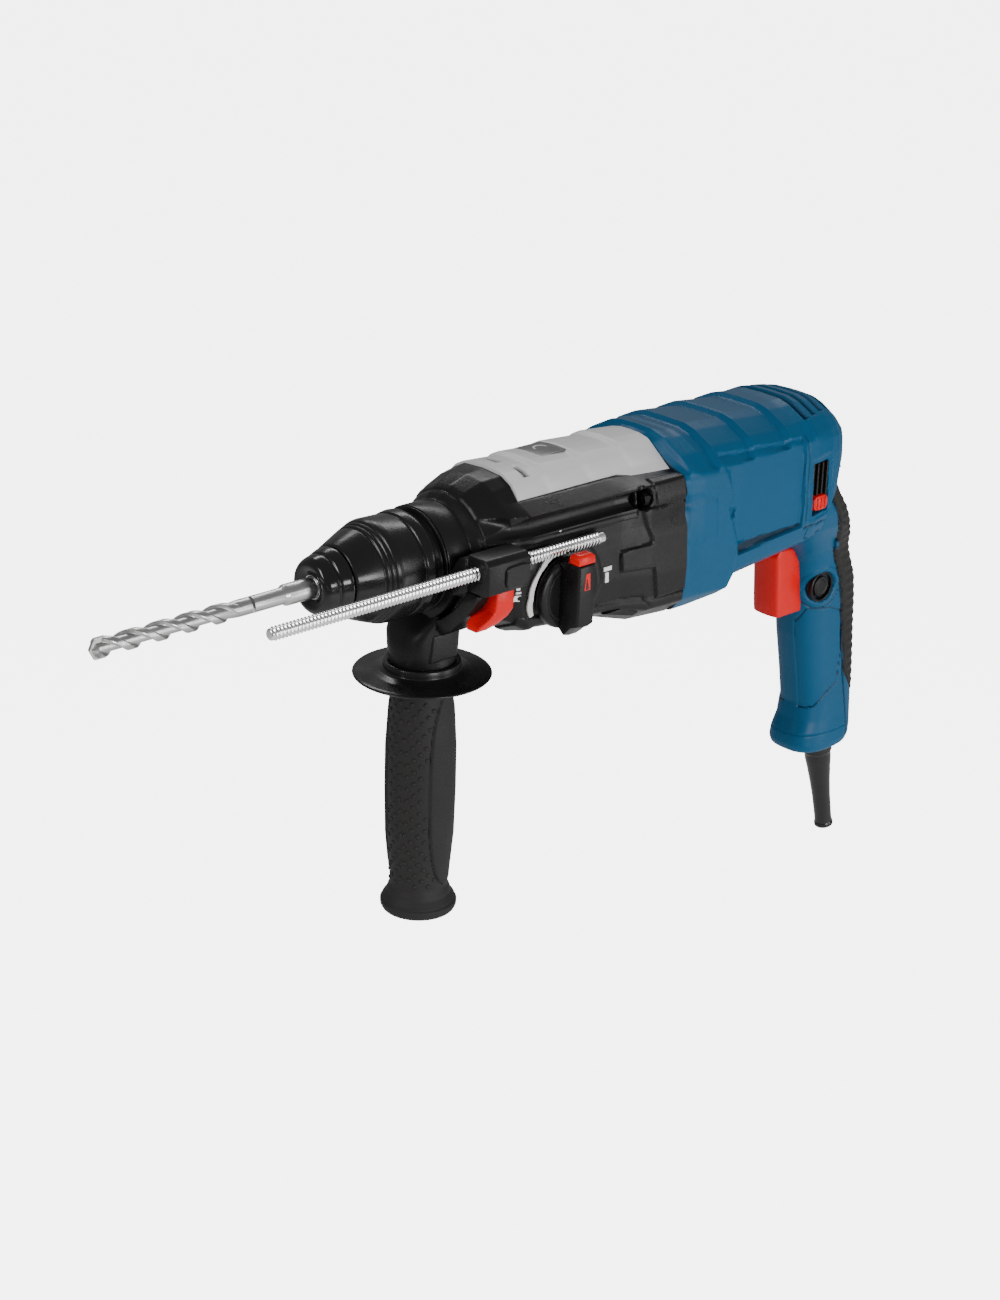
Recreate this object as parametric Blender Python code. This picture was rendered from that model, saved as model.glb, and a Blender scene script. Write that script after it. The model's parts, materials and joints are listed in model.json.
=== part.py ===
"""Rotary hammer with an SDS-plus chuck, auxiliary side handle and depth rod.

The tool is drawn in its own frame: X runs back along the spindle from the nose, -Y is the
tool's left side and Z points up. Sizes are in millimetres and are turned into metres when a
mesh is made. The empty "main_grip" carries every piece, so the world origin lies at the
middle of the main grip.
"""
import math

import bmesh
import bpy
from mathutils import Matrix, Vector

MM = 0.001

# Clearances and walls
GAP = 0.3                 # between two pieces that touch, seat or slide
WALL = 2.6                # plastic casing wall
PAD = 2.2                 # soft skin on the back of the main grip

# Chuck
SHANK_R = 5.0
BIT_LENGTH = 160.0
BIT_DEPTH = 40.0          # length of the bit inside the chuck
BIT_R = 4.4
HOLDER_WALL = 3.6
BALL_R = 2.8
BALL_BITE = 1.4           # depth of the ball in the shank's groove
BALL_X = 20.0
CAP_LENGTH = 13.5
SLEEVE_R = 24.7
SLEEVE_WALL = 1.5
SLEEVE_START = 12.0
SLEEVE_END = 53.7
SLEEVE_TRAVEL = 4.5
BIT_PLAY = 10.0

# Collar and gear housing
COLLAR_R = 24.4
COLLAR_START = 58.6
SHOULDER_X = 74.0
SPLIT_X = 200.0           # plane between the gear housing and the motor housing
BODY_TOP = 36.0
BODY_BOTTOM = -50.0
BODY_HALF = 41.0
COVER_START = 102.0
COVER_T = 2.0
COVER_HALF = 24.5

# Hammer mechanism
CYLINDER_BORE_R = 11.0
CYLINDER_WALL = 3.0
CYLINDER_END = 150.0
BOLT_X = 52.0             # step where the impact bolt's flange stops
BOLT_FLANGE_R = 7.1
PISTON_WALL = 1.7
PISTON_LENGTH = 63.0
PISTON_TAIL = 14.0         # solid rear end that takes the wobble finger
FINGER_R = 3.2
SHAFT_Z = -27.0           # intermediate shaft below the spindle
SHAFT_R = 4.0
WOBBLE_X = 163.0
WOBBLE_BALL_R = 9.0
WOBBLE_WIDTH = 9.0
GEAR_MODULE = 1.0
SPINDLE_TEETH = 44
SHAFT_TEETH = 10
WHEEL_TEETH = 34
PINION_TEETH = 7
SPINDLE_GEAR_X = 121.0
GEAR_WIDTH = 9.0
WHEEL_X = 180.0

# Motor
MOTOR_X = 231.0           # front of the laminations
MOTOR_STACK = 46.0
STATOR_R = 32.8
ROTOR_R = 20.0
COMMUTATOR_R = 12.0
FAN_R = 32.0
FAN_X = 208.0
BRUSH_X = 292.0
BEARING_X = 190.5

# Main grip
GRIP_HALF = 16.0
GRIP_BOTTOM = -176.5
GRIP_FIXED = -105.0       # above this height the grip keeps its place when its length changes
GRIP_REST = -71.5         # drawn height of the part below it
GRIP_ORIGIN = (355.0, 0.0, -118.0)
SEAM = 12.0               # depth of the rear handle shell
TRIGGER_FRONT = 306.5
TRIGGER_END = 331.0
TRIGGER_HALF = 9.0
TRIGGER_TOP = -50.5
TRIGGER_HEIGHT = 39.5
TRIGGER_TRAVEL = 7.0
LOCK_AT = (339.0, -75.5)
LOCK_R = 6.3

# Mode selector
KNOB_AT = (118.5, -18.2)
KNOB_R = 17.8
KNOB_FACE = BODY_HALF - 0.7
KNOB_HUB_R = 7.0
KNOB_PIN_R = 2.0
KNOB_PIN_OFFSET = 2.5
KNOB_BAR = (12.0, 45.0)   # width and length of the finger bar

# Side handle and depth rod
BAND_T = 0.8
BAND_X = 66.3
BAND_WIDTH = 13.0
GRIP2_R = 16.8
GRIP2_TOP = -57.0
GRIP2_BOTTOM = -184.0
FLANGE_R = 33.4
TIE_R = 3.0
ROD_LENGTH = 200.0
ROD_FRONT = -56.5
ROD_AT = (-BODY_HALF, 4.0)
ROD_R = 3.0
BLOCK_X = (62.0, 88.0)

HOLDER_BORE_R = SHANK_R + GAP
HOLDER_R = HOLDER_BORE_R + HOLDER_WALL
CYLINDER_R = CYLINDER_BORE_R + CYLINDER_WALL
BALL_ORBIT = SHANK_R - BALL_BITE + BALL_R + GAP
MOTOR_Z = SHAFT_Z + GEAR_MODULE * (WHEEL_TEETH + PINION_TEETH) / 2

# Chuck parts, mm
LOCK_RING_R = HOLDER_R + 5.6
RING_START = 15.6
RING_END = 28.0
SPRING_SEAT = 47.0
NECK_BORE_R = CYLINDER_R + 3.4
NECK_R = SLEEVE_R - SLEEVE_WALL - GAP - 0.3
BEARING_R = CYLINDER_R + 6.0
MOTOR_BEARING_R = 10.5

# Housing screws, mm: side, distance from the middle plane, height
UPPER_SCREW = (BODY_HALF - 5.8, 14.5)
LOWER_SCREW = (BODY_HALF - 7.4, -37.0)
SCREWS = [(side, *place) for place in (UPPER_SCREW, LOWER_SCREW) for side in (-1, 1)]
SCREW_X = 172.0
SCREW_END = 218.0
SCREW_R = 2.2
SCREW_HEAD_R = 3.9
CHANNEL_R = 4.3
BOSS_R = CHANNEL_R + 2.2
CHANNEL_START = 100.0     # front end of the open channels in the shoulders
POCKET_START = 150.0

# Direction lever, cord outlet, seal and rod release, mm
LEVER_REACH = BODY_HALF - 5.0
LEVER_TURN = Matrix.Rotation(math.radians(16), 4, 'X')
LEVER_X = (BRUSH_X + 10.5, BRUSH_X + 16.5)
RELIEF_AT = (363.5, 0.0, GRIP_BOTTOM + 0.5)
RELIEF_TURN = Matrix.Rotation(math.radians(77.5), 4, 'Y')
RELIEF_TOP_R = 7.6
RELIEF_FLANGE_R = 9.4
CORD_R = 3.6
BELLOWS_X = 338.0
BELLOWS_LOW = -0.4
BELLOWS_HIGH = 8.4
TWELVE_SIDES = [(math.cos(math.radians(a)), math.sin(math.radians(a))) for a in range(15, 375, 30)]
RELEASE_X = (74.0, 87.5)
RELEASE_TOP = ROD_AT[1] - 6.5

MATERIALS = {
    "blue": ((0.017, 0.127, 0.242), 0.45, 0.0),
    "black": ((0.030, 0.028, 0.028), 0.50, 0.0),
    "grey": ((0.52, 0.52, 0.53), 0.50, 0.0),
    "red": ((0.70, 0.015, 0.008), 0.35, 0.0),
    "soft": ((0.030, 0.027, 0.024), 0.75, 0.0),
    "rubber": ((0.020, 0.020, 0.021), 0.60, 0.0),
    "steel": ((0.56, 0.57, 0.58), 0.28, 1.0),
    "bright": ((0.86, 0.87, 0.88), 0.22, 1.0),
    "aluminium": ((0.74, 0.75, 0.76), 0.45, 1.0),
    "laminate": ((0.33, 0.34, 0.35), 0.45, 1.0),
    "copper": ((0.80, 0.36, 0.16), 0.35, 1.0),
    "brass": ((0.78, 0.60, 0.28), 0.35, 1.0),
    "carbon": ((0.045, 0.045, 0.048), 0.70, 0.0),
    "insulator": ((0.30, 0.16, 0.07), 0.55, 0.0),
}

for old in list(bpy.data.objects):
    bpy.data.objects.remove(old, do_unlink=True)

frame = bpy.data.objects.new("main_grip", None)
frame.location = Vector(GRIP_ORIGIN) * -MM
bpy.context.scene.collection.objects.link(frame)


# ---------------------------------------------------------------- shape helpers

def material(name):
    """The named plastic or metal, made once."""
    found = bpy.data.materials.get(name)
    if found:
        return found
    colour, roughness, metallic = MATERIALS[name]
    new = bpy.data.materials.new(name)
    new.use_nodes = True
    shader = new.node_tree.nodes["Principled BSDF"]
    shader.inputs["Base Color"].default_value = (*colour, 1.0)
    shader.inputs["Roughness"].default_value = roughness
    shader.inputs["Metallic"].default_value = metallic
    new.diffuse_color = (*colour, 1.0)
    return new


def add(name, bm, finish, at=(0, 0, 0), turn=None, smooth=35):
    """Turn a bmesh drawn in millimetres about its own origin into a named object."""
    bmesh.ops.remove_doubles(bm, verts=bm.verts, dist=0.001)
    bmesh.ops.recalc_face_normals(bm, faces=bm.faces)
    if turn:
        bm.transform(turn)
    bmesh.ops.scale(bm, verts=bm.verts, vec=(MM, MM, MM))
    mesh = bpy.data.meshes.new(name)
    bm.to_mesh(mesh)
    bm.free()
    mesh.materials.append(material(finish))
    mesh.shade_smooth()
    mesh.set_sharp_from_angle(angle=math.radians(smooth))
    obj = bpy.data.objects.new(name, mesh)
    obj.location = Vector(at) * MM
    obj.parent = frame
    bpy.context.scene.collection.objects.link(obj)
    return obj


def tool(obj):
    """Mark an object as a helper that only shapes another one."""
    obj.hide_render = True
    obj.display_type = 'WIRE'
    return obj


def combine(obj, others, operation):
    """Add one EXACT Boolean modifier for each helper object."""
    for other in others:
        boolean = obj.modifiers.new(other.name, 'BOOLEAN')
        boolean.operation = operation
        boolean.solver = 'EXACT'
        boolean.object = tool(other)
    return obj


def cut(obj, *others):
    return combine(obj, others, 'DIFFERENCE')


def fuse(obj, *others):
    return combine(obj, others, 'UNION')


def keep(obj, *others):
    return combine(obj, others, 'INTERSECT')


ALONG_Y = Matrix.Rotation(math.radians(90), 4, 'Z')
ALONG_Z = Matrix.Rotation(math.radians(-90), 4, 'Y')


def lathe(profile, segments=24, closed=True):
    """Turn (distance along X, radius) points about X; an open profile ends on the axis."""
    bm = bmesh.new()
    rings = []
    for x, radius in profile:
        if radius < 1e-6:
            rings.append([bm.verts.new((x, 0, 0))])
            continue
        ring = []
        for i in range(segments):
            angle = 2 * math.pi * i / segments
            ring.append(bm.verts.new((x, radius * math.cos(angle), radius * math.sin(angle))))
        rings.append(ring)
    pairs = list(zip(rings, rings[1:]))
    if closed:
        pairs.append((rings[-1], rings[0]))
    for a, b in pairs:
        for i in range(segments):
            j = (i + 1) % segments
            corners = [a[i % len(a)], a[j % len(a)], b[j % len(b)], b[i % len(b)]]
            face = list(dict.fromkeys(corners))
            if len(face) > 2:
                bm.faces.new(face)
    return bm


def rod(x0, x1, radius, segments=20):
    """A plain round bar along X."""
    return lathe([(x0, 0), (x0, radius), (x1, radius), (x1, 0)], segments, closed=False)


def tube(x0, x1, inner, outer, segments=24):
    """A plain ring along X."""
    return lathe([(x0, inner), (x0, outer), (x1, outer), (x1, inner)], segments)


def skin(rings):
    """Join rings of equal length into one closed solid with flat ends."""
    bm = bmesh.new()
    loops = [[bm.verts.new(p) for p in ring] for ring in rings]
    count = len(loops[0])
    for a, b in zip(loops, loops[1:]):
        for i in range(count):
            j = (i + 1) % count
            bm.faces.new((a[i], a[j], b[j], b[i]))
    bm.faces.new(loops[0])
    bm.faces.new(loops[-1])
    return bm


def slab(outline, low, high, axis='Y'):
    """Extrude a flat outline; axis Y takes (x, z) points, X takes (y, z), Z takes (x, y)."""
    place = {'X': lambda p, d: (d, p[0], p[1]), 'Y': lambda p, d: (p[0], d, p[1]),
             'Z': lambda p, d: (p[0], p[1], d)}[axis]
    return skin([[place(p, low) for p in outline], [place(p, high) for p in outline]])


def block(x, y, z, chamfer=0.0):
    """A box from three (low, high) pairs, with its edges bevelled if asked."""
    bm = slab([(x[0], z[0]), (x[1], z[0]), (x[1], z[1]), (x[0], z[1])], *y)
    if chamfer:
        bmesh.ops.recalc_face_normals(bm, faces=bm.faces)
        bmesh.ops.bevel(bm, geom=bm.edges, offset=chamfer, segments=1, affect='EDGES')
    return bm


def gear(teeth, x0, x1, bore=0.0, phase=0.0, addendum=0.75, dedendum=1.05):
    """A spur gear along X; phase is the angle of a tooth's middle, counted from +Z to -Y."""
    pitch = teeth * GEAR_MODULE / 2
    half = math.pi / teeth * 0.40
    flank = [(pitch - dedendum, -1.75), (pitch + addendum, -0.45), (pitch + addendum, 0.45),
             (pitch - dedendum, 1.75)]

    def point(x, radius, angle):
        return (x, -radius * math.sin(angle), radius * math.cos(angle))

    centres = [phase + 2 * math.pi * tooth / teeth for tooth in range(teeth)]
    if not bore:
        return skin([[point(x, r, a + share * half) for a in centres for r, share in flank]
                     for x in (x0, x1)])
    bm = bmesh.new()
    outer, inner = [], []
    for x in (x0, x1):
        outer.append([[bm.verts.new(point(x, r, a + share * half)) for r, share in flank] for a in centres])
        inner.append([bm.verts.new(point(x, bore, a - math.pi / teeth)) for a in centres])
    for i in range(teeth):
        j = (i + 1) % teeth
        for side in (0, 1):
            bm.faces.new(outer[side][i] + [outer[side][j][0], inner[side][j], inner[side][i]])
        bm.faces.new((inner[0][i], inner[0][j], inner[1][j], inner[1][i]))
        front, back = outer[0][i] + [outer[0][j][0]], outer[1][i] + [outer[1][j][0]]
        for k in range(4):
            bm.faces.new((front[k], front[k + 1], back[k + 1], back[k]))
    return bm


def coil(x0, x1, radius, wire, turns, steps=10, sides=4):
    """A compression spring along X."""
    rings = []
    for k in range(turns * steps + 1):
        angle = 2 * math.pi * k / steps
        x = x0 + wire + (x1 - x0 - 2 * wire) * k / (turns * steps)
        ring = []
        for s in range(sides):
            around = 2 * math.pi * s / sides
            reach = radius + wire * math.cos(around)
            ring.append((x + wire * math.sin(around), reach * math.cos(angle), reach * math.sin(angle)))
        rings.append(ring)
    return skin(rings)


def mirrored(half):
    """Close a half outline of (y, z) points that starts and ends on the middle plane."""
    return half + [(-y, z) for y, z in reversed(half[1:-1])]


def blend(stations, x):
    """Values at x from (x, values...) stations, straight between them."""
    if x <= stations[0][0]:
        return stations[0][1:]
    for a, b in zip(stations, stations[1:]):
        if x <= b[0]:
            t = (x - a[0]) / (b[0] - a[0])
            return tuple(p + (q - p) * t for p, q in zip(a[1:], b[1:]))
    return stations[-1][1:]


# ---------------------------------------------------------------- casing sections

# Gear housing: x, roundness, top, bottom, half width above the step, half width below it
GEAR_STATIONS = [
    (SHOULDER_X, 1.0, 26.5, -26.5, 26.5, 26.5),
    (82.0, 1.0, 31.0, -31.0, 31.0, 31.0),
    (92.0, 0.75, BODY_TOP - 1.2, -37.0, 34.6, 35.5),
    (COVER_START, 0.15, BODY_TOP, -40.5, 35.6, BODY_HALF - 2.2),
    (130.0, 0.0, BODY_TOP, -43.0, 36.0, BODY_HALF - 1.0),
    (158.0, 0.0, BODY_TOP, -46.5, 36.6, BODY_HALF - 1.0),
    (176.0, 0.0, BODY_TOP, BODY_BOTTOM, 39.0, BODY_HALF),
    (SPLIT_X, 0.0, BODY_TOP, BODY_BOTTOM, 39.5, BODY_HALF + 0.8),
]

# Motor housing: x, top, bottom, half width, lift of the sloping shoulder
MOTOR_STATIONS = [
    (SPLIT_X, BODY_TOP, BODY_BOTTOM, BODY_HALF, 1.0),
    (214.0, BODY_TOP + 1.2, BODY_BOTTOM, BODY_HALF, 1.0),
    (235.0, BODY_TOP + 1.2, -48.0, BODY_HALF, 1.0),
    (241.0, BODY_TOP + 1.2, -44.5, BODY_HALF, 1.0),
    (300.0, BODY_TOP + 0.8, -41.0, BODY_HALF - 1.5, 1.0),
    (322.0, BODY_TOP - 1.0, -40.0, BODY_HALF - 4.5, 1.0),
    (338.0, BODY_TOP - 4.5, 9.0, BODY_HALF - 9.0, 0.75),
    (346.0, BODY_TOP - 8.5, 12.0, BODY_HALF - 14.0, 0.5),
    (350.0, BODY_TOP - 13.0, 16.0, BODY_HALF - 20.0, 0.2),
]

# Main grip: -z, front, back, half width
def grip_height(z):
    """Height of a place on the main grip, which follows the grip's length below its middle."""
    return z if z >= GRIP_FIXED else GRIP_FIXED + (z - GRIP_FIXED) * (GRIP_BOTTOM - GRIP_FIXED) / GRIP_REST


GRIP_STATIONS = [
    (-8.0, 292.0, 338.0, 31.0),
    (17.0, 294.0, 345.0, 32.0),
    (35.0, 300.0, 354.0, 29.0),
    (48.0, 316.0, 360.5, GRIP_HALF + 5.0),
    (60.0, 325.0, 366.0, GRIP_HALF + 1.5),
    (76.0, 327.5, 373.5, GRIP_HALF + 0.8),
    (105.0, 330.5, 377.0, GRIP_HALF),
    (-grip_height(-130.0), 335.5, 379.0, GRIP_HALF - 0.3),
    (-grip_height(-150.0), 339.0, 380.0, GRIP_HALF - 0.5),
    (-grip_height(-160.0), 336.0, 380.5, GRIP_HALF),
    (-grip_height(-169.0), 332.5, 380.0, GRIP_HALF + 0.8),
    (-GRIP_BOTTOM, 335.5, 375.0, GRIP_HALF - 1.0),
]


def gear_outline(x, inset=0.0, dip=0.0):
    """Closed (y, z) outline of the gear housing; dip lowers the strip under the top cover.

    Outside, the lowered strip ends in a small step; inside the wall it needs none.
    """
    roundness, top, bottom, upper, lower = blend(GEAR_STATIONS, x)
    boxy = [(0, top), (13.0, top - 0.8), (19.0, top - 4.0), (COVER_HALF, top - 10.5),
            (COVER_HALF + 0.1, top - 10.6),
            (upper - 1.8, 14.0), (upper, 8.0), (upper, 1.5), (lower - 0.8, -3.5), (lower, -20.0),
            (lower - 1.2, bottom + 11), (lower - 8, bottom + 3), (lower - 20, bottom + 0.3), (0, bottom)]
    angles = [0, 20, 32, 45, 48, 62, 76, 88, 98, 113, 130, 148, 165, 180]
    half = []
    for (y, z), degrees in zip(boxy, angles):
        a = math.radians(degrees)
        ring = (upper * math.sin(a), top * math.cos(a) if degrees < 90 else -bottom * math.cos(a))
        half.append((y + (ring[0] - y) * roundness, z + (ring[1] - z) * roundness))
    half[:4] = [(y, z - dip) for y, z in half[:4]]
    if inset:
        del half[4]
    return mirrored(shrink(half, inset))


def motor_outline(x, inset=0.0):
    """Closed (y, z) outline of the motor housing, without its finger ribs."""
    top, bottom, side, lift = blend(MOTOR_STATIONS, x)
    k = side / BODY_HALF
    wall = top - 22.0 * lift
    tall = wall - bottom
    half = [(0, top), (13.0 * k, top - 0.3), (17.5 * k, top - 1.8), (29.5 * k, top - 8.5 * lift),
            (side - 1.5 * k, top - 15.5 * lift), (side, wall), (side, bottom + 0.5 * tall),
            (side, bottom + 0.2 * tall), (side - 2.0 * k, bottom + 0.1 * tall),
            (side - 9 * k, bottom + 0.02 * tall), (side * 0.4, bottom), (0, bottom)]
    return mirrored(shrink(half, inset))


def shrink(half, inset):
    """Move a half outline inwards by a wall, along the outline's own normals."""
    if not inset:
        return half
    moved = []
    for i, (y, z) in enumerate(half):
        before = half[i - 1] if i else (-half[1][0], half[1][1])
        after = half[i + 1] if i + 1 < len(half) else (-half[-2][0], half[-2][1])
        dy, dz = after[0] - before[0], after[1] - before[1]
        length = math.hypot(dy, dz)
        moved.append((max(0.0, y + inset * dz / length), z - inset * dy / length))
    moved[0] = (0.0, moved[0][1])
    moved[-1] = (0.0, moved[-1][1])
    return moved


def grip_ring(z, inset=0.0):
    """Rounded outline of the main grip at one height, as (x, y, z) points."""
    count = 12 if inset else 20
    front, back, half = blend(GRIP_STATIONS, -z)
    cx, a, b = (front + back) / 2, (back - front) / 2 - inset, half - inset
    ring = []
    for i in range(count):
        angle = 2 * math.pi * i / count
        c, s = math.cos(angle), math.sin(angle)
        ring.append((cx + a * math.copysign(abs(c) ** 0.72, c), b * math.copysign(abs(s) ** 0.72, s), z))
    return ring


def grip_solid(name, inset=0.0, low=GRIP_BOTTOM, high=8.0):
    """The main grip and its upper shoulder as one solid, shrunk by an inset."""
    heights = [-s[0] for s in GRIP_STATIONS if low < -s[0] < high]
    rings = [grip_ring(z, inset) for z in [high] + heights + [low]]
    return add(name, skin(rings), "blue")


def seam_outline(shift=0.0, high=4.0, low=GRIP_BOTTOM - 5):
    """Side view, as (x, z) points, of the zone behind the handle seam."""
    points = []
    for z in (high, -17, -35, -60, GRIP_FIXED, grip_height(-150), low):
        back = blend(GRIP_STATIONS, -z)[1]
        points.append((back - SEAM + shift, z))
    return points + [(points[-1][0] + 60, low), (points[0][0] + 80, high)]


# ---------------------------------------------------------------- chuck

def make_drill_bit():
    tip = BIT_DEPTH - BIT_LENGTH
    neck = -15.5
    bit = add("drill_bit", lathe([(tip, 0), (tip + 3.5, BIT_R), (tip + 4, BIT_R), (-44, BIT_R - 0.3),
                                  (-40, 3.9), (neck - 2, 3.9), (neck, SHANK_R), (BIT_DEPTH - 1, SHANK_R),
                                  (BIT_DEPTH, SHANK_R - 1), (BIT_DEPTH, 0)], 20, closed=False), "bright")
    grooves = []
    for side in (1, -1):
        bm = lathe([(BALL_X - BALL_R - GAP, 0), (BALL_X - BALL_R - GAP, BALL_R + GAP),
                    (BALL_X + BALL_R + BIT_PLAY + GAP, BALL_R + GAP),
                    (BALL_X + BALL_R + BIT_PLAY + GAP, 0)], 13, closed=False)
        grooves.append(add(f"ball_groove_{side}", bm, "bright", at=(0, 0, side * BALL_ORBIT)))
        grooves.append(add(f"drive_slot_{side}", block((24, BIT_DEPTH + 1), (-1.4, 1.4), (-1.4, 1.4)),
                           "bright", at=(0, side * SHANK_R, 0)))
    return cut(bit, *grooves)


def make_dust_cap():
    rear = HOLDER_R + GAP
    return add("dust_cap", lathe([
        (3.6, SHANK_R + 0.4), (1.0, SHANK_R + 0.4), (-1.4, 8.4), (-2.0, 9.6), (-1.4, 10.7), (1.9, 13.7),
        (5.7, 14.8), (9.6, 16.3), (CAP_LENGTH - 2, 16.7), (CAP_LENGTH - 2, rear), (3.6, rear)], 24), "rubber")


def make_locking_sleeve():
    inner = SLEEVE_R - SLEEVE_WALL
    ring_r = LOCK_RING_R + GAP
    start = SLEEVE_START
    return add("locking_sleeve", lathe([
        (start, HOLDER_R + 3.3), (start, 16.9), (22.4, 19.6), (31.5, SLEEVE_R), (SLEEVE_END - 1.2, SLEEVE_R),
        (SLEEVE_END, SLEEVE_R - 0.5), (SLEEVE_END, inner), (34.0, inner), (29.5, inner - 3.0),
        (29.5, ring_r), (15.2, ring_r), (15.2, HOLDER_R + 3.3)], 28), "black")


def make_locking_ring():
    """Steel ring inside the sleeve whose cone lets the balls move out as the sleeve goes back."""
    slope = math.hypot(1.0, 0.5)
    reach = 0.5 / slope * BALL_X + BALL_ORBIT / slope + BALL_R + GAP
    guide = HOLDER_R + GAP

    def cone_x(radius):
        return (reach - radius / slope) * slope / 0.5

    mouth = guide + (cone_x(guide) - RING_START) * 0.5
    return add("locking_ring", lathe([
        (RING_START, mouth), (RING_START, LOCK_RING_R), (RING_END, LOCK_RING_R), (RING_END, guide),
        (cone_x(guide), guide)], 24), "steel")


def make_balls():
    for name, side in (("locking_ball_upper", 1), ("locking_ball_lower", -1)):
        points = [(-BALL_R * math.cos(math.pi * k / 8), BALL_R * math.sin(math.pi * k / 8)) for k in range(9)]
        points[0] = (-BALL_R, 0)
        points[-1] = (BALL_R, 0)
        add(name, lathe(points, 12, closed=False), "steel", at=(BALL_X, 0, side * BALL_ORBIT))


def make_spindle():
    """Tool holder and hammer cylinder in one turned piece."""
    spindle = add("spindle", lathe([
        (4.0, HOLDER_BORE_R), (4.0, HOLDER_R), (SPRING_SEAT, HOLDER_R), (SPRING_SEAT, CYLINDER_R),
        (CYLINDER_END, CYLINDER_R), (CYLINDER_END, CYLINDER_BORE_R), (80.0, CYLINDER_BORE_R),
        (80.0, BOLT_FLANGE_R + GAP), (BOLT_X, BOLT_FLANGE_R + GAP), (BOLT_X, HOLDER_BORE_R)], 28), "steel")
    window = add("ball_windows", rod(-HOLDER_R - 2, HOLDER_R + 2, BALL_R + GAP, 16), "steel",
                 at=(BALL_X, 0, 0), turn=ALONG_Z)
    return cut(spindle, window)


def make_chuck_inside():
    add("sleeve_spring", coil(RING_END + GAP, SPRING_SEAT - GAP, HOLDER_R + 1.9, 0.7, 5), "steel")
    add("spindle_seal", tube(50.0, 54.5, CYLINDER_R + GAP, NECK_BORE_R - GAP), "rubber")
    bearing = BEARING_R
    add("front_bearing", lathe([(59.3, CYLINDER_R + GAP), (59.3, bearing), (69.0, bearing),
                                (69.0, CYLINDER_R + GAP)]), "steel")


# ---------------------------------------------------------------- hammer mechanism

def make_hammer():
    front, flange = SHANK_R - 0.2, BOLT_FLANGE_R
    add("impact_bolt", lathe([(BIT_DEPTH + 0.6, 0), (BIT_DEPTH + 0.6, front), (BOLT_X + 2.4, front),
                              (BOLT_X + 3.2, flange), (BOLT_X + 14, flange), (BOLT_X + 15, 5.6),
                              (BOLT_X + 26, 5.6), (BOLT_X + 26, 0)], 24, closed=False), "steel")
    bore = CYLINDER_BORE_R - GAP - PISTON_WALL
    body = bore - GAP
    start = 90.0
    add("striker", lathe([(start, 0), (start, 5.2), (start + 12, 5.2), (start + 12, body), (start + 24, body),
                          (start + 24, body - 1.6), (start + 27, body - 1.6), (start + 27, body),
                          (start + 33, body), (start + 33, 0)], 24, closed=False), "steel")
    add("striker_o_ring", tube(start + 24 + GAP, start + 27 - GAP, body - 1.6 + GAP, bore - GAP / 2),
        "rubber")
    piston_end = WOBBLE_X + PISTON_TAIL / 2
    piston_front = piston_end - PISTON_LENGTH
    crown = piston_end - PISTON_TAIL
    outer = CYLINDER_BORE_R - GAP
    piston = add("piston", lathe([(piston_front, bore), (piston_front, outer), (crown + 4, outer),
                                  (crown + 5, outer - 2), (piston_end, outer - 2), (piston_end, 0),
                                  (crown, 0), (crown, bore)], 28), "aluminium")
    top, foot = FINGER_R + 1.2, FINGER_R + 2.5
    outline = [(WOBBLE_X - foot, -12), (WOBBLE_X + foot, -12), (WOBBLE_X + top, -2), (WOBBLE_X + top, 5.6),
               (WOBBLE_X - top, 5.6), (WOBBLE_X - top, -2)]
    cut(piston, add("finger_slot", slab(outline, -FINGER_R - 2.2, FINGER_R + 2.2), "aluminium"))


def make_wobble():
    """Swash ring whose finger drives the piston; its hub is a ball so that it can swing."""
    half = WOBBLE_WIDTH / 2
    seat = WOBBLE_BALL_R + GAP
    edge = math.sqrt(WOBBLE_BALL_R ** 2 - half ** 2)
    ring_edge = math.sqrt(seat ** 2 - half ** 2)
    hub_bore = SHAFT_R + GAP
    arc = [(half * k / 3, math.sqrt(WOBBLE_BALL_R ** 2 - (half * k / 3) ** 2)) for k in range(-3, 4, 2)]
    arc[0], arc[-1] = (-half, edge), (half, edge)
    add("wobble_hub", lathe([(-half, hub_bore)] + arc + [(half, hub_bore)], 20), "steel",
        at=(WOBBLE_X, 0, SHAFT_Z))
    inside = [(half * k / 3, math.sqrt(seat ** 2 - (half * k / 3) ** 2)) for k in range(3, -4, -2)]
    inside[0], inside[-1] = (half, ring_edge), (-half, ring_edge)
    ring = add("wobble_ring", lathe([(-half, 13.0), (half, 13.0)] + inside, 20), "steel",
               at=(WOBBLE_X, 0, SHAFT_Z))
    tip = -SHAFT_Z + 4.5
    profile = [(12.0, 0), (12.0, FINGER_R + 0.4), (-SHAFT_Z - 6, FINGER_R), (tip - 1, FINGER_R),
               (tip, FINGER_R - 1), (tip, 0)]
    finger = add("wobble_finger", lathe(profile, 16, closed=False), "steel", at=(WOBBLE_X, 0, SHAFT_Z),
                 turn=Matrix.Rotation(math.radians(-90), 4, 'Y'))
    fuse(ring, finger)


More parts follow.
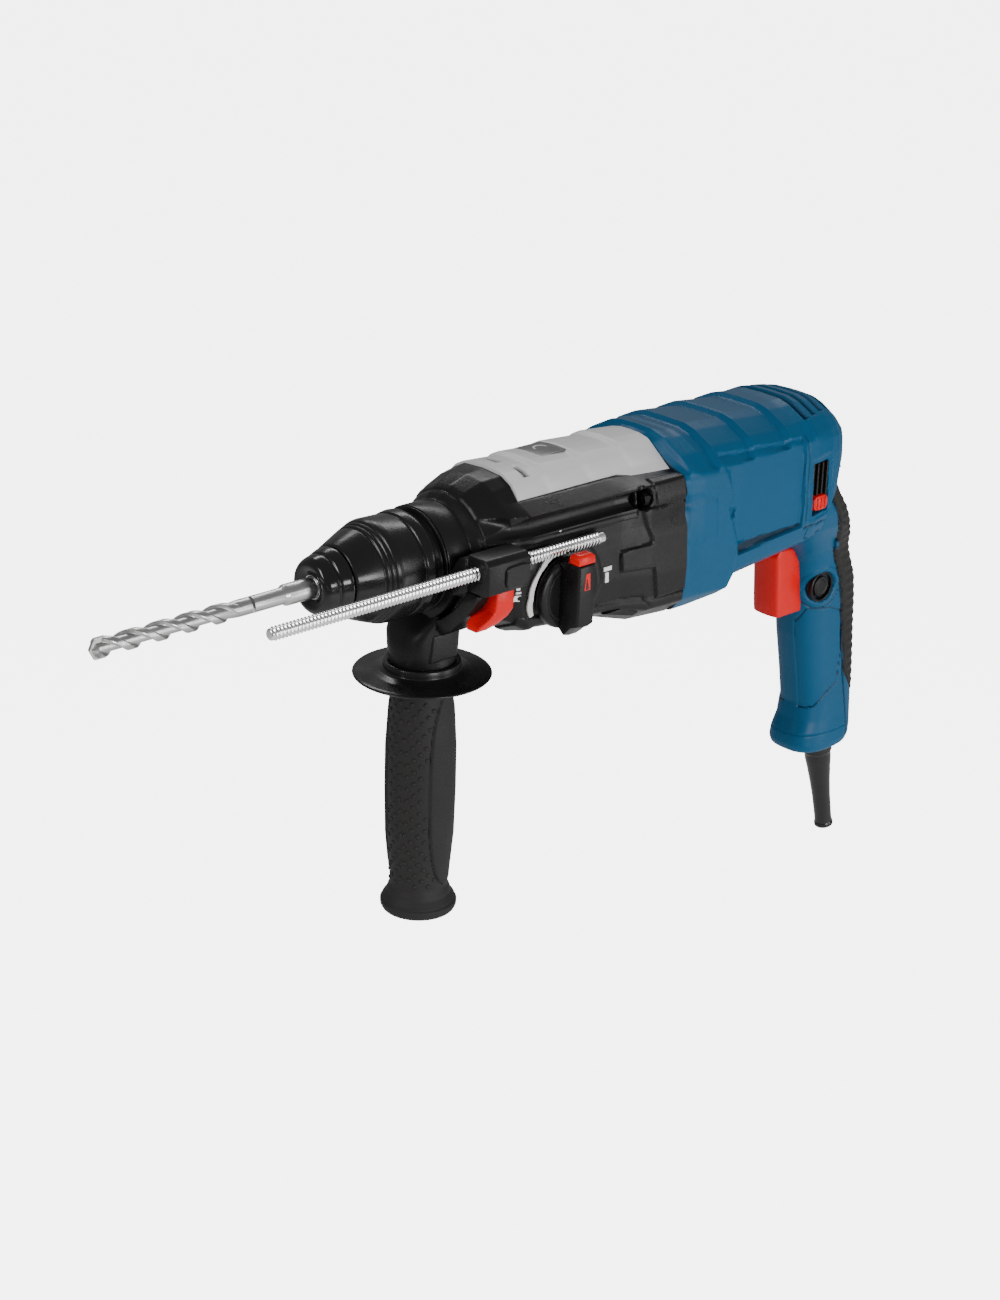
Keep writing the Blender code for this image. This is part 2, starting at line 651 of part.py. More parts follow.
def make_gears():
    mid = math.pi / SPINDLE_TEETH
    add("spindle_gear", gear(SPINDLE_TEETH, SPINDLE_GEAR_X, SPINDLE_GEAR_X + GEAR_WIDTH,
                             CYLINDER_R + GAP, math.pi + mid), "steel")
    shaft = add("intermediate_shaft", rod(109.5, BEARING_X + 6.0, SHAFT_R, 20), "steel", at=(0, 0, SHAFT_Z))
    pinion = add("shaft_pinion", gear(SHAFT_TEETH, SPINDLE_GEAR_X - 1, SPINDLE_GEAR_X + GEAR_WIDTH + 1),
                 "steel", at=(0, 0, SHAFT_Z))
    fuse(shaft, pinion)
    add("intermediate_gear", gear(WHEEL_TEETH, WHEEL_X, WHEEL_X + 7, SHAFT_R + GAP), "steel",
        at=(0, 0, SHAFT_Z))
    width = 11.0
    start = SPINDLE_GEAR_X + GEAR_WIDTH + 5.5
    add("clutch_sleeve", lathe([(start, SHAFT_R + GAP), (start, 8.6), (start + 3.5, 8.6), (start + 3.5, 6.6),
                                (start + 7, 6.6), (start + 7, 8.6), (start + width, 8.6),
                                (start + width, SHAFT_R + GAP)], 20), "steel", at=(0, 0, SHAFT_Z))
    for name, x0, x1, outer in (("shaft_front_bearing", 111.0, 117.0, 7.2),
                                ("shaft_rear_bearing", BEARING_X + 0.6, BEARING_X + 6.0, 8.0)):
        add(name, tube(x0, x1, SHAFT_R + GAP, outer, 24), "steel", at=(0, 0, SHAFT_Z))


def make_bridge():
    """Cast flange between gearbox and motor that carries the shaft and armature bearings."""
    rings = [[(x, y, z) for y, z in gear_outline(x, WALL + GAP, COVER_T + GAP)]
             for x in (BEARING_X, SPLIT_X - 2)]
    plate = add("bearing_bridge", skin(rings), "aluminium")
    wide = add("bridge_bore_shaft", rod(BEARING_X - 1, BEARING_X + 6.4, 8.0 + GAP), "aluminium",
               at=(0, 0, SHAFT_Z))
    motor = add("bridge_bore_motor", rod(BEARING_X - 1, SPLIT_X + 1, MOTOR_BEARING_R + GAP), "aluminium",
                at=(0, 0, MOTOR_Z))
    notches = [add(f"bridge_notch_{n}", rod(BEARING_X - 1, SPLIT_X, BOSS_R + GAP, 12), "aluminium",
                   at=(0, side * y, z)) for n, (side, y, z) in enumerate(SCREWS, 1)]
    return cut(plate, wide, motor, *notches)


# ---------------------------------------------------------------- motor

def make_motor():
    end = MOTOR_X + MOTOR_STACK
    shaft = add("armature_shaft", lathe([(187.5, 0), (187.5, 4.0), (BEARING_X + 20, 4.0), (BEARING_X + 21, 5.0),
                                         (end + 36, 5.0), (end + 37, 4.0), (end + 47, 4.0), (end + 47, 0)],
                                        20, closed=False), "steel", at=(0, 0, MOTOR_Z))
    pinion = add("motor_pinion", gear(PINION_TEETH, WHEEL_X - 1, 188.5,
                                      phase=math.pi + math.pi / PINION_TEETH), "steel", at=(0, 0, MOTOR_Z))
    fuse(shaft, pinion)
    inner = 5.0 + GAP
    add("armature_core", lathe([(MOTOR_X - 8, inner), (MOTOR_X - 8, 14.0), (MOTOR_X, 15.5), (MOTOR_X, ROTOR_R),
                                (end, ROTOR_R), (end, 15.5), (end + 8, 14.0), (end + 8, inner)], 24),
        "laminate", at=(0, 0, MOTOR_Z))
    add("commutator", tube(BRUSH_X - 1, BRUSH_X + 15, inner, COMMUTATOR_R, 24), "copper", at=(0, 0, MOTOR_Z))
    add("motor_front_bearing", tube(BEARING_X + 0.6, SPLIT_X - 2.4, 4.0 + GAP, MOTOR_BEARING_R, 20), "steel",
        at=(0, 0, MOTOR_Z))
    add("motor_rear_bearing", tube(end + 38, end + 45, 4.0 + GAP, 9.0, 20), "steel", at=(0, 0, MOTOR_Z))
    stator = add("stator_core", tube(MOTOR_X, end, ROTOR_R + 0.8, STATOR_R, 32), "laminate",
                 at=(0, 0, MOTOR_Z))
    slots = []
    for side in (1, -1):
        outline = [(side * y, z) for y, z in ((19.0, -9.0), (27.5, -9.0), (27.5, 9.0), (19.0, 9.0))]
        slots.append(add(f"coil_slot_{side}", slab(outline, MOTOR_X - 1, end + 1, 'X'), "laminate",
                         at=(0, 0, MOTOR_Z)))
        coil_name = "field_coil_right" if side > 0 else "field_coil_left"
        lead = [(side * y, z) for y, z in ((21.2, -8.4), (27.0, -8.4), (27.0, 8.4), (21.2, 8.4))]
        add(coil_name, slab(lead, MOTOR_X - 7, end + 7, 'X'), "copper", at=(0, 0, MOTOR_Z))
    cut(stator, *slots)


def make_fan():
    """Cooling fan behind the bearing flange: a disc with straight blades, moulded in one."""
    bore = 5.0 + GAP
    disc = add("fan", lathe([(FAN_X + 4, bore), (FAN_X + 4, 11.0), (FAN_X + 10, 11.0), (FAN_X + 10, FAN_R),
                             (FAN_X + 12, FAN_R), (FAN_X + 12, bore)], 24), "insulator", at=(0, 0, MOTOR_Z))
    blades = []
    for k in range(9):
        turn = Matrix.Rotation(2 * math.pi * k / 9, 4, 'X')
        bm = block((FAN_X + 2, FAN_X + 11), (-0.8, 0.8), (14.0, FAN_R - 1.5))
        blades.append(add(f"fan_blade_{k}", bm, "insulator", at=(0, 0, MOTOR_Z), turn=turn))
    return fuse(disc, *blades)


def make_brush_gear():
    """Turning brush ring with its two holders and the direction lever, and the carbon brushes."""
    x0, x1 = BRUSH_X + 1, BRUSH_X + 12
    ring = add("brush_ring", tube(x1, x1 + 3, COMMUTATOR_R + 4, 29.0, 24), "insulator", at=(0, 0, MOTOR_Z))
    extras = []
    for side, name in ((1, "upper"), (-1, "lower")):
        z = (COMMUTATOR_R + 1.5, 28.0) if side > 0 else (-28.0, -COMMUTATOR_R - 1.5)
        extras.append(add(f"brush_holder_{name}", block((x0, x1 + 1), (-6.0, 6.0), z), "insulator",
                          at=(0, 0, MOTOR_Z)))
    lever = block((x1, x1 + 3), (-LEVER_REACH, -26.0), (-3.5, 3.5))
    extras.append(add("direction_lever", lever, "insulator", at=(0, 0, MOTOR_Z), turn=LEVER_TURN))
    fuse(ring, *extras)
    wells = []
    for side, name in ((1, "upper"), (-1, "lower")):
        low = COMMUTATOR_R + GAP
        z = (low, 26.0) if side > 0 else (-26.0, -low)
        add(f"carbon_brush_{name}", block((x0 + 2, x1 - 2), (-3.4, 3.4), z), "carbon", at=(0, 0, MOTOR_Z))
        z = (low - 1, 26.0 + GAP) if side > 0 else (-26.0 - GAP, -low + 1)
        wells.append(add(f"brush_well_{name}", block((x0 + 2 - GAP, x1 - 2 + GAP), (-3.4 - GAP, 3.4 + GAP), z),
                         "insulator", at=(0, 0, MOTOR_Z)))
    cut(ring, *wells)


# ---------------------------------------------------------------- casings

def make_gear_housing():
    dip = COVER_T + GAP
    places = [(SHOULDER_X, 0), (82, 0), (92, 0), (COVER_START - GAP, 0), (COVER_START, dip), (130, dip),
              (158, dip), (176, dip), (SPLIT_X - GAP / 2, dip)]
    rings = [[(x, y, z) for y, z in gear_outline(x, 0, d)] for x, d in places]
    shell = add("gear_housing", skin(rings), "black")
    neck = add("neck", lathe([(SPRING_SEAT + 1, 0), (SPRING_SEAT + 1, NECK_R), (COLLAR_START, NECK_R),
                              (COLLAR_START, COLLAR_R + 0.6), (59.4, COLLAR_R + 0.6), (59.6, COLLAR_R),
                              (SHOULDER_X - 0.6, COLLAR_R), (SHOULDER_X + 6, 24.0), (SHOULDER_X + 6, 0)], 32,
                             closed=False), "black")
    fuse(shell, neck)
    hollow_x = (80.0, 92, COVER_START, 130, 158, 176, SPLIT_X + 1)
    rings = [[(x, y, z) for y, z in gear_outline(x, WALL, dip)] for x in hollow_x]
    hollow = add("gear_hollow", skin(rings), "black")
    bore = add("neck_bore", lathe([(SPRING_SEAT, 0), (SPRING_SEAT, NECK_BORE_R), (59.0, NECK_BORE_R),
                                   (59.0, BEARING_R + GAP), (81.0, BEARING_R + GAP), (81.0, 0)], 24,
                                  closed=False), "black")
    hub = add("knob_bore", rod(-KNOB_FACE - 2, -KNOB_FACE + 12, KNOB_HUB_R + GAP), "black",
              at=(KNOB_AT[0], 0, KNOB_AT[1]), turn=ALONG_Y)
    pocket = add("knob_seat", rod(-KNOB_FACE - 6, -KNOB_FACE + 0.7, KNOB_R + 0.8, 28), "black",
                 at=(KNOB_AT[0], 0, KNOB_AT[1]), turn=ALONG_Y)
    bosses, bores = [], []
    for number, (side, y, z) in enumerate(SCREWS, 1):
        at = (0, side * y, z)
        reach = CHANNEL_START if z > 0 else POCKET_START
        bosses.append(add(f"screw_boss_{number}", rod(reach - 3, SPLIT_X + 2, BOSS_R, 12), "black", at=at))
        bores.append(add(f"screw_channel_{number}", lathe([
            (reach, 0), (reach, CHANNEL_R), (SCREW_X + 3.5 + GAP, CHANNEL_R), (SCREW_X + 3.5 + GAP, SCREW_R + GAP),
            (SPLIT_X + 2, SCREW_R + GAP), (SPLIT_X + 2, 0)], 12, closed=False), "black", at=at))
    cut(hollow, *bosses)
    return cut(shell, hollow, bore, hub, pocket, *bores)


def make_top_cover():
    """Light skin clipped over the top of the gear housing."""
    rings = []
    for x in (COVER_START + GAP, 130, 158, 176, SPLIT_X - GAP):
        top = sorted(point for point in gear_outline(x) if point[1] > BODY_TOP - 10.55)
        under = [(y, z - COVER_T) for y, z in reversed(top)]
        rings.append([(x, y, z) for y, z in top + under])
    return add("top_cover", skin(rings), "grey")


def make_motor_housing():
    xs = [SPLIT_X + GAP / 2] + [s[0] for s in MOTOR_STATIONS[1:]]
    rings = [[(x, y, z) for y, z in motor_outline(x)] for x in xs]
    shell = add("motor_housing", skin(rings), "blue")
    inner_x = [SPLIT_X - 1, 214, 236, 242, 300, 322, 334]
    hollow = add("motor_hollow", skin([[(x, y, z) for y, z in motor_outline(x, WALL)] for x in inner_x]),
                 "blue")
    grip = grip_solid("grip_front")
    grip_hollow = grip_solid("grip_hollow", WALL, GRIP_BOTTOM + WALL, 2.0)
    rear = add("seam_zone", slab(seam_outline(-GAP / 2), -60, 60), "blue")
    slot_top = TRIGGER_TOP + GAP
    slot_low = TRIGGER_TOP - TRIGGER_HEIGHT - GAP
    mouth = add("trigger_mouth", block((TRIGGER_FRONT - 8, TRIGGER_END + TRIGGER_TRAVEL + GAP),
                                       (-TRIGGER_HALF - GAP, TRIGGER_HALF + GAP), (slot_low, slot_top)),
                "blue")
    button = add("lock_bore", rod(-30, 0, LOCK_R + GAP), "blue", at=(LOCK_AT[0], 0, LOCK_AT[1]), turn=ALONG_Y)
    dish = add("lock_dish", rod(-30, -GRIP_HALF + 1.0, LOCK_R + 2.8), "blue", at=(LOCK_AT[0], 0, LOCK_AT[1]),
               turn=ALONG_Y)
    window = add("lever_window", block((LEVER_X[0], LEVER_X[1]), (-60, -25), (-24.0, 7.0)), "blue")
    exit_hole = add("cord_hole", relief_room(), "blue", at=RELIEF_AT, turn=RELIEF_TURN)
    seal_gap = add("seal_gap", bellows_room(), "blue")
    bosses, bores = [], []
    for number, (side, y, z) in enumerate(SCREWS, 1):
        at = (0, side * y, z)
        bosses.append(add(f"motor_boss_{number}", rod(SPLIT_X - 2, SCREW_END + 4, BOSS_R, 12), "blue", at=at))
        bores.append(add(f"motor_screw_bore_{number}", rod(SPLIT_X - 2, SCREW_END + GAP, SCREW_R + GAP, 12),
                         "blue", at=at))
    fuse(shell, grip)
    cut(hollow, *bosses)
    return cut(shell, hollow, grip_hollow, rear, mouth, dish, button, window, exit_hole, seal_gap, *bores)


def relief_room():
    """Hole for the bend relief, with room above the grip's floor for its flange."""
    neck, flange = RELIEF_TOP_R + GAP, RELIEF_FLANGE_R + GAP
    return lathe([(-9, 0), (-9, flange), (-1.7, flange), (-1.7, neck), (26, neck), (26, 0)], 20, closed=False)


def make_handle_back():
    """Rear handle shell, its soft skin and the rubber bellows above it."""
    shell = grip_solid("handle_cover")
    zone = add("cover_zone", slab(seam_outline(GAP / 2), -60, 60), "blue")
    hollow = grip_solid("cover_hollow", WALL + PAD, GRIP_BOTTOM + WALL + 1, 1.0)
    pad_zone = add("pad_recess", slab(pad_outline(0), -60, 60), "soft")
    cut(pad_zone, grip_solid("pad_floor", PAD + GAP, GRIP_BOTTOM + 6.5, 12))
    exit_hole = add("cover_cord_hole", relief_room(), "blue", at=RELIEF_AT, turn=RELIEF_TURN)
    keep(shell, zone)
    cut(shell, hollow, pad_zone, exit_hole, add("cover_seal_gap", bellows_room(), "blue"))
    pad = grip_solid("soft_grip")
    pad.data.materials.clear()
    pad.data.materials.append(material("soft"))
    keep(pad, add("pad_zone", slab(pad_outline(GAP), -60, 60), "soft"))
    cut(pad, grip_solid("pad_inside", PAD, GRIP_BOTTOM + 6.5, 12))


def pad_outline(shift):
    """Side view of the soft skin, as (x, z) points."""
    top, low, bottom, outside = -2, grip_height(-120), grip_height(-146), 410
    depths = ((top, top - shift, 3.0), (-35, -35, 6.5), (-75, -75, 8.0), (low, low, 7.0),
              (bottom, bottom + shift, 3.5))
    edge = [(blend(GRIP_STATIONS, -z)[1] - depth + shift, moved) for z, moved, depth in depths]
    return edge + [(outside, edge[-1][1]), (outside, edge[0][1])]


# ---------------------------------------------------------------- controls

def make_trigger():
    x0 = TRIGGER_FRONT
    low, high = TRIGGER_TOP - TRIGGER_HEIGHT, TRIGGER_TOP
    outline = [(x0 + 1.0, high), (x0, high - 3), (x0 + 1.6, (low + high) / 2), (x0 + 2.5, low + 6),
               (x0 + 5.0, low), (TRIGGER_END, low), (TRIGGER_END, high)]
    trigger = add("trigger", slab([(x, z) for x, z in outline], -TRIGGER_HALF, TRIGGER_HALF), "red")
    bevel = trigger.modifiers.new("rounded", 'BEVEL')
    bevel.width = 1.6 * MM
    bevel.segments = 2
    bevel.limit_method = 'ANGLE'
    mid = (low + high) / 2
    socket = add("spring_socket", rod(TRIGGER_END - 7, TRIGGER_END + 1, 4.6, 16), "red", at=(0, 0, mid))
    cut(trigger, socket)
    switch = TRIGGER_END + TRIGGER_TRAVEL + 0.6
    spring = coil(TRIGGER_END - 7 + GAP, switch - GAP, 3.2, 0.6, 5, 8)
    add("trigger_spring", spring, "steel", at=(0, 0, mid))
    add("switch_body", block((switch, switch + 16), (-6.5, 6.5), (mid - 18, mid + 10)), "black")


def make_lock_button():
    add("lock_button", lathe([(-GRIP_HALF - 0.6, 0), (-GRIP_HALF - 0.6, LOCK_R - 0.8),
                              (-GRIP_HALF + 0.2, LOCK_R), (-12.5, LOCK_R), (-12.5, 0)], 20, closed=False),
        "black", at=(LOCK_AT[0], 0, LOCK_AT[1]), turn=ALONG_Y)


def make_mode_selector():
    face, place = -KNOB_FACE, (KNOB_AT[0], 0, KNOB_AT[1])
    knob = add("mode_knob", lathe([(face - 4.2, 0), (face - 4.2, KNOB_R - 2), (face - 2.6, KNOB_R),
                                   (face + 0.4, KNOB_R), (face + 0.4, KNOB_HUB_R), (face + 9.5, KNOB_HUB_R),
                                   (face + 9.5, 0)], 28, closed=False), "black", at=place, turn=ALONG_Y)
    half, reach = KNOB_BAR[0] / 2, KNOB_BAR[1] / 2
    slim = half * 0.8
    levels = [(half, face - 3.8, -KNOB_R + 2, KNOB_R - 2), (half, face - 7.0, -reach + 5, reach - 1),
              (slim, face - 15.5, -reach + 8, reach - 2)]
    bar = skin([[(-w, y, low), (w, y, low), (w, y, high), (-w, y, high)] for w, y, low, high in levels])
    pin = rod(face + 9.0, face + 14.5, KNOB_PIN_R, 12)
    fuse(knob, add("knob_bar", bar, "black", at=place),
         add("knob_pin", pin, "black", at=(KNOB_AT[0], 0, KNOB_AT[1] - KNOB_PIN_OFFSET), turn=ALONG_Y))
    width = slim - 0.8
    seat = block((-width - GAP, width + GAP), (face - 16, face - 7.6), (reach - 8 - GAP, reach + 5))
    cut(knob, add("button_seat", seat, "black", at=place))
    key = block((-width, width), (face - 15.8, face - 7.6 - GAP), (reach - 5.2, reach + 1.4), 0.6)
    add("mode_button", key, "red", at=place)


def make_shift_fork():
    """Slides the clutch sleeve when the knob's eccentric pin turns."""
    x, z = KNOB_AT
    groove = SPINDLE_GEAR_X + GEAR_WIDTH + 5.5 + 3.5
    face = 11.7 - KNOB_FACE
    arm = add("shift_fork", block((x - 6, groove + 2.9), (face, face + 3.0), (z - 9, z + 4)), "steel")
    prong = add("fork_prong", block((groove + 0.6, groove + 2.9), (face, -7.4), (SHAFT_Z - 2, SHAFT_Z + 5)),
                "steel")
    slot = add("fork_slot", block((x - KNOB_PIN_R - 1.3, x + KNOB_PIN_R + 1.3), (face - 1.4, face + 4.6),
                                  (z - KNOB_PIN_R - 3.2, z + KNOB_PIN_R + 3.2)), "steel")
    fuse(arm, prong)
    cut(arm, slot)


# ---------------------------------------------------------------- side handle

def make_side_handle():
    inner = COLLAR_R + GAP
    outer = inner + BAND_T
    x0, x1 = BAND_X - BAND_WIDTH / 2, BAND_X + BAND_WIDTH / 2
    ends = [math.radians(-18), math.radians(198)]
    arc = [ends[0] + (ends[1] - ends[0]) * k / 20 for k in range(21)]
    ring = [(outer * math.cos(a), outer * math.sin(a)) for a in arc]
    ring += [(inner * math.cos(a), inner * math.sin(a)) for a in reversed(arc)]
    add("clamp_band", slab(ring, x0, x1, 'X'), "black")
    saddle_r = inner + 3.0
    span = 12
    start, stop = ends[1] + math.radians(1.5), ends[0] + 2 * math.pi - math.radians(1.5)
    low = [start + (stop - start) * k / span for k in range(span + 1)]
    ring = [(saddle_r * math.cos(a), saddle_r * math.sin(a)) for a in low]
    ring += [(inner * math.cos(a), inner * math.sin(a)) for a in reversed(low)]
    head = add("side_handle_head", slab(ring, x0, x1, 'X'), "black")
    stem = skin([[(BAND_X + a * w, b * d, z) for a, b in TWELVE_SIDES] for z, w, d in
                 ((-23.5, 6.0, 19.0), (-30, 7.0, 17.0), (-35, 12.5, 16.0), (-44, 15.0, 15.5),
                  (GRIP2_TOP + 5.2, 14.5, 14.5))])
    rod_y = ROD_AT[0]
    lug = block(BLOCK_X, (rod_y - 8.5, rod_y + 6.1), (ROD_AT[1] - 11, ROD_AT[1] + 7.5), 1.5)
    bridge = skin([[(x, y, z) for x, z in ((x0, z1), (x1, z1), (x1, z2), (x0, z2))] for y, z1, z2 in
                   ((rod_y + 4.5, -8.0, 11.0), (-26.0, -11.0, 2.0), (-22.0, -16.0, -12.5))])
    web = skin([[(x0 + 0.5, y, z), (x1 + 1.5, y, z), (x1 + 1.5, y2, z2), (x0 + 0.5, y2, z2)]
                for y, z, y2, z2 in ((rod_y - 1.0, -6.5, rod_y + 5.8, -6.5), (-34.0, -20.0, -26.5, -18.0),
                                     (-20.0, -33.0, -12.0, -27.5))])
    fuse(head, add("handle_stem", stem, "black"), add("rod_block", lug, "black"),
         add("block_bridge", bridge, "black"), add("block_web", web, "black"))
    collar = add("collar_clearance", rod(x0 - 4, x1 + 9, inner, 32), "black")
    room = [((outer + GAP) * math.cos(a), (outer + GAP) * math.sin(a)) for a in arc]
    band_room = add("band_clearance", slab(room, x0 - 4, x1 + 2, 'X'), "black")
    tie_bore = lathe([(-70, 0), (-70, TIE_R + GAP), (-32.0, TIE_R + GAP), (-32.0, 6.6), (-20.0, 6.6),
                      (-20.0, 0)], 20, closed=False)
    tie_bore = add("tie_bore", tie_bore, "black", at=(BAND_X, 0, 0), turn=ALONG_Z)
    rod_bore = add("rod_bore", rod(BLOCK_X[0] - 3, BLOCK_X[1] + 3, ROD_R + GAP, 20), "black", at=(0, *ROD_AT))
    pocket = add("button_pocket", block((RELEASE_X[0] - GAP, RELEASE_X[1] + 5),
                                        (rod_y - 20, rod_y + 9.0), (ROD_AT[1] - 30, RELEASE_TOP + GAP)),
                 "black")
    foot_pocket = add("button_foot_pocket", block((RELEASE_X[0] - 8, RELEASE_X[1] + 6),
                                                  (rod_y - 21, rod_y + 9.0), (-36, -13.0)), "black")
    cut(head, collar, band_room, tie_bore, rod_bore, pocket, foot_pocket)


def make_side_handle_pieces():
    add("tie_bolt", lathe([(-28.0, 0), (-28.0, 6.0), (-31.4, 6.0), (-31.4, TIE_R), (-78, TIE_R), (-78, 0)],
                          20, closed=False), "steel", at=(BAND_X, 0, 0), turn=ALONG_Z)
    top, bottom = GRIP2_TOP, GRIP2_BOTTOM
    bore = TIE_R + GAP
    grip = lathe([(top + 4.9, bore), (top + 4.9, 17.6), (top + 2.2, 18.6), (top + 1.2, 20.5), (top, FLANGE_R - 0.8),
                  (top - 0.9, FLANGE_R), (top - 1.8, FLANGE_R - 0.8), (top - 3.0, 15.6), (top - 18, 15.2),
                  (top - 50, GRIP2_R), (top - 85, GRIP2_R), (bottom + 15, 14.8), (bottom + 8, 16.4),
                  (bottom + 4.5, 19.0), (bottom + 2.5, 19.3), (bottom, 15.5), (bottom, 0),
                  (-80, 0), (-80, bore)], 24)
    add("side_grip", grip, "soft", at=(BAND_X, 0, 0), turn=ALONG_Z)
    add("depth_rod", lathe([(ROD_FRONT, 0), (ROD_FRONT, ROD_R - 0.5), (ROD_FRONT + 0.5, ROD_R),
                            (ROD_FRONT + ROD_LENGTH - 0.5, ROD_R), (ROD_FRONT + ROD_LENGTH, ROD_R - 0.5),
                            (ROD_FRONT + ROD_LENGTH, 0)], 12, closed=False), "bright", at=(0, *ROD_AT))
    y = ROD_AT[0]
    x0, x1 = RELEASE_X
    levels = [(RELEASE_TOP, x0, x1, y - 7.2, y + 4.8), (-14.0, x0, x1, y - 6.6, y + 4.8),
              (-24.0, x0 - 6, x1 - 5, y - 2.0, y + 4.0)]
    add("rod_release_button",
        skin([[(a, c, z), (b, c, z), (b, d, z), (a, d, z)] for z, a, b, c, d in levels]), "red")


# ---------------------------------------------------------------- ends and fasteners

def make_relief():
    """Tapered bend relief at the foot of the grip, bored for the cord."""
    add("strain_relief", lathe([(-5.0, CORD_R), (-5.0, RELIEF_FLANGE_R), (-2.0, RELIEF_FLANGE_R),
                                (-2.0, RELIEF_TOP_R), (6.0, RELIEF_TOP_R),
                                (16, 7.4), (30, 5.6), (50, 4.8), (58, 4.9), (60.5, 5.4), (60.5, CORD_R)], 20),
        "rubber", at=RELIEF_AT, turn=RELIEF_TURN)
    add("cord_clamp", block((346, 366), (-9, 9), (GRIP_BOTTOM + 10.5, GRIP_BOTTOM + 15.5), 0.8), "black")


def make_screws():
    for number, (side, y, z) in enumerate(SCREWS, 1):
        add(f"housing_screw_{number}", lathe([
            (SCREW_X, 0), (SCREW_X + 0.5, 2.6), (SCREW_X + 0.5, SCREW_HEAD_R), (SCREW_X + 3.5, SCREW_HEAD_R),
            (SCREW_X + 3.5, SCREW_R), (SCREW_END, SCREW_R), (SCREW_END, 0)], 10, closed=False), "steel",
            at=(0, side * y, z))


def bellows_room():
    """Space cut out of both shells for the folded seal."""
    return block((BELLOWS_X, BELLOWS_X + 30), (-60, 60), (BELLOWS_LOW - GAP, BELLOWS_HIGH + GAP))


def make_bellows():
    """Folded rubber seal between the casing's overhang and the top of the handle."""
    rings = []
    fold = (BELLOWS_HIGH - BELLOWS_LOW) / 4
    inside = BELLOWS_X + GAP
    for n, grow in enumerate((0.0, 1.8, 0.2, 1.8, 0.0)):
        z = BELLOWS_HIGH - n * fold
        reach = 4.2 + grow
        half = [(0, 26.0), (reach * 0.6, 22.0 + grow / 2), (reach, 12.0)]
        left = [(inside + dx, -y, z) for dx, y in half]
        rings.append(left + [(x, -y, z) for x, y, z in reversed(left)])
    return add("handle_bellows", skin(rings), "soft")


make_drill_bit()
make_dust_cap()
make_locking_sleeve()
make_locking_ring()
make_balls()
make_spindle()
make_chuck_inside()
make_hammer()
make_wobble()
make_gears()
make_bridge()
make_motor()
make_fan()
make_brush_gear()
make_gear_housing()
make_top_cover()
make_motor_housing()
make_handle_back()
make_trigger()
make_lock_button()
make_mode_selector()
make_shift_fork()
make_side_handle()
make_side_handle_pieces()
make_relief()
make_screws()
make_bellows()
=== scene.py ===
"""Builds the finished look of a corded rotary hammer around its packed frame.

Sizes below are millimetres in the tool's own axes: x runs from the chuck's nose to the rear along the
spindle, y to the tool's right, z up from the spindle's axis.
"""

import json
import math

import bmesh
import bpy
import numpy as np
from bpy.props import FloatProperty, FloatVectorProperty, PointerProperty
from bpy.types import Operator, Panel, PropertyGroup
from mathutils import Matrix, Vector

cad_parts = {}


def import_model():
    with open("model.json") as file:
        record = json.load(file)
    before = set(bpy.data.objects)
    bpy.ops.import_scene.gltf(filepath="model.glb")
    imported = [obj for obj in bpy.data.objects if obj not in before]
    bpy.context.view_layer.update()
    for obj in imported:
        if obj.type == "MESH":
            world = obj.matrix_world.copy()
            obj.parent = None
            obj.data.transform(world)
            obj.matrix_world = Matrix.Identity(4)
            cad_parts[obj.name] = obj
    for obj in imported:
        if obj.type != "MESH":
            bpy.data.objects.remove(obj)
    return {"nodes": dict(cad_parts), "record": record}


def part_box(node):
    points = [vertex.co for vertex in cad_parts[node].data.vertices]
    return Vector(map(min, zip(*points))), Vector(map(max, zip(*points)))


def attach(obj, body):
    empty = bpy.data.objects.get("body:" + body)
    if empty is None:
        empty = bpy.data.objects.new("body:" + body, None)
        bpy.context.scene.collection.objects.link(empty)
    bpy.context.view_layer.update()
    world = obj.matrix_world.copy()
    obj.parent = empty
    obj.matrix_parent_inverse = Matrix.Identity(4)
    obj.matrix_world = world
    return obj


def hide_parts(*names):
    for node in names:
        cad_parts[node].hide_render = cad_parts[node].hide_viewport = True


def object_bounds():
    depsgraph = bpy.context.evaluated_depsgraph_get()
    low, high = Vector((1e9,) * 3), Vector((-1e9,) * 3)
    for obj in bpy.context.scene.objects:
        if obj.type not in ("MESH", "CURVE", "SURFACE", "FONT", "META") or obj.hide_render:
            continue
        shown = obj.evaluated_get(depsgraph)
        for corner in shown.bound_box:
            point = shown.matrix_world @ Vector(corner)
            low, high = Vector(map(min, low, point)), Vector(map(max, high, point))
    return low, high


bl_info = {
    "name": "Rotary hammer",
    "version": (1, 0, 0),
    "blender": (4, 5, 0),
    "location": "View3D > Sidebar > Rotary hammer",
    "description": "Builds the casings, chuck, handles, controls and studio of a rotary hammer",
    "category": "Object",
}

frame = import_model()
CAD_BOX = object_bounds()
MM = 0.001
SHARP_ANGLE = 38
MERGE_DISTANCE = 0.01 * MM


def middle(node, axis):
    low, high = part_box(node)
    return (low[axis] + high[axis]) / 2


AXIS_Z = middle("spindle", 2)
NOSE_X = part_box("dust_cap")[0][0] + 2.0 * MM
HANDLE_X = (middle("clamp_band", 0) - NOSE_X) / MM
KNOB_X = (middle("mode_knob", 0) - NOSE_X) / MM
KNOB_Z = -18.2
KNOB_Y = -40.3
ROD_Y = middle("depth_rod", 1) / MM
ROD_Z = (middle("depth_rod", 2) - AXIS_Z) / MM
ROD_X = [(corner[0] - NOSE_X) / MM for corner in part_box("depth_rod")]
MOTOR_Z = (middle("armature_shaft", 2) - AXIS_Z) / MM


def world(points):
    """Tool millimetres to metres in the frame's axes."""
    return np.asarray(points, float) * MM + np.array([NOSE_X, 0.0, AXIS_Z])


# ---------------------------------------------------------------- mesh helpers

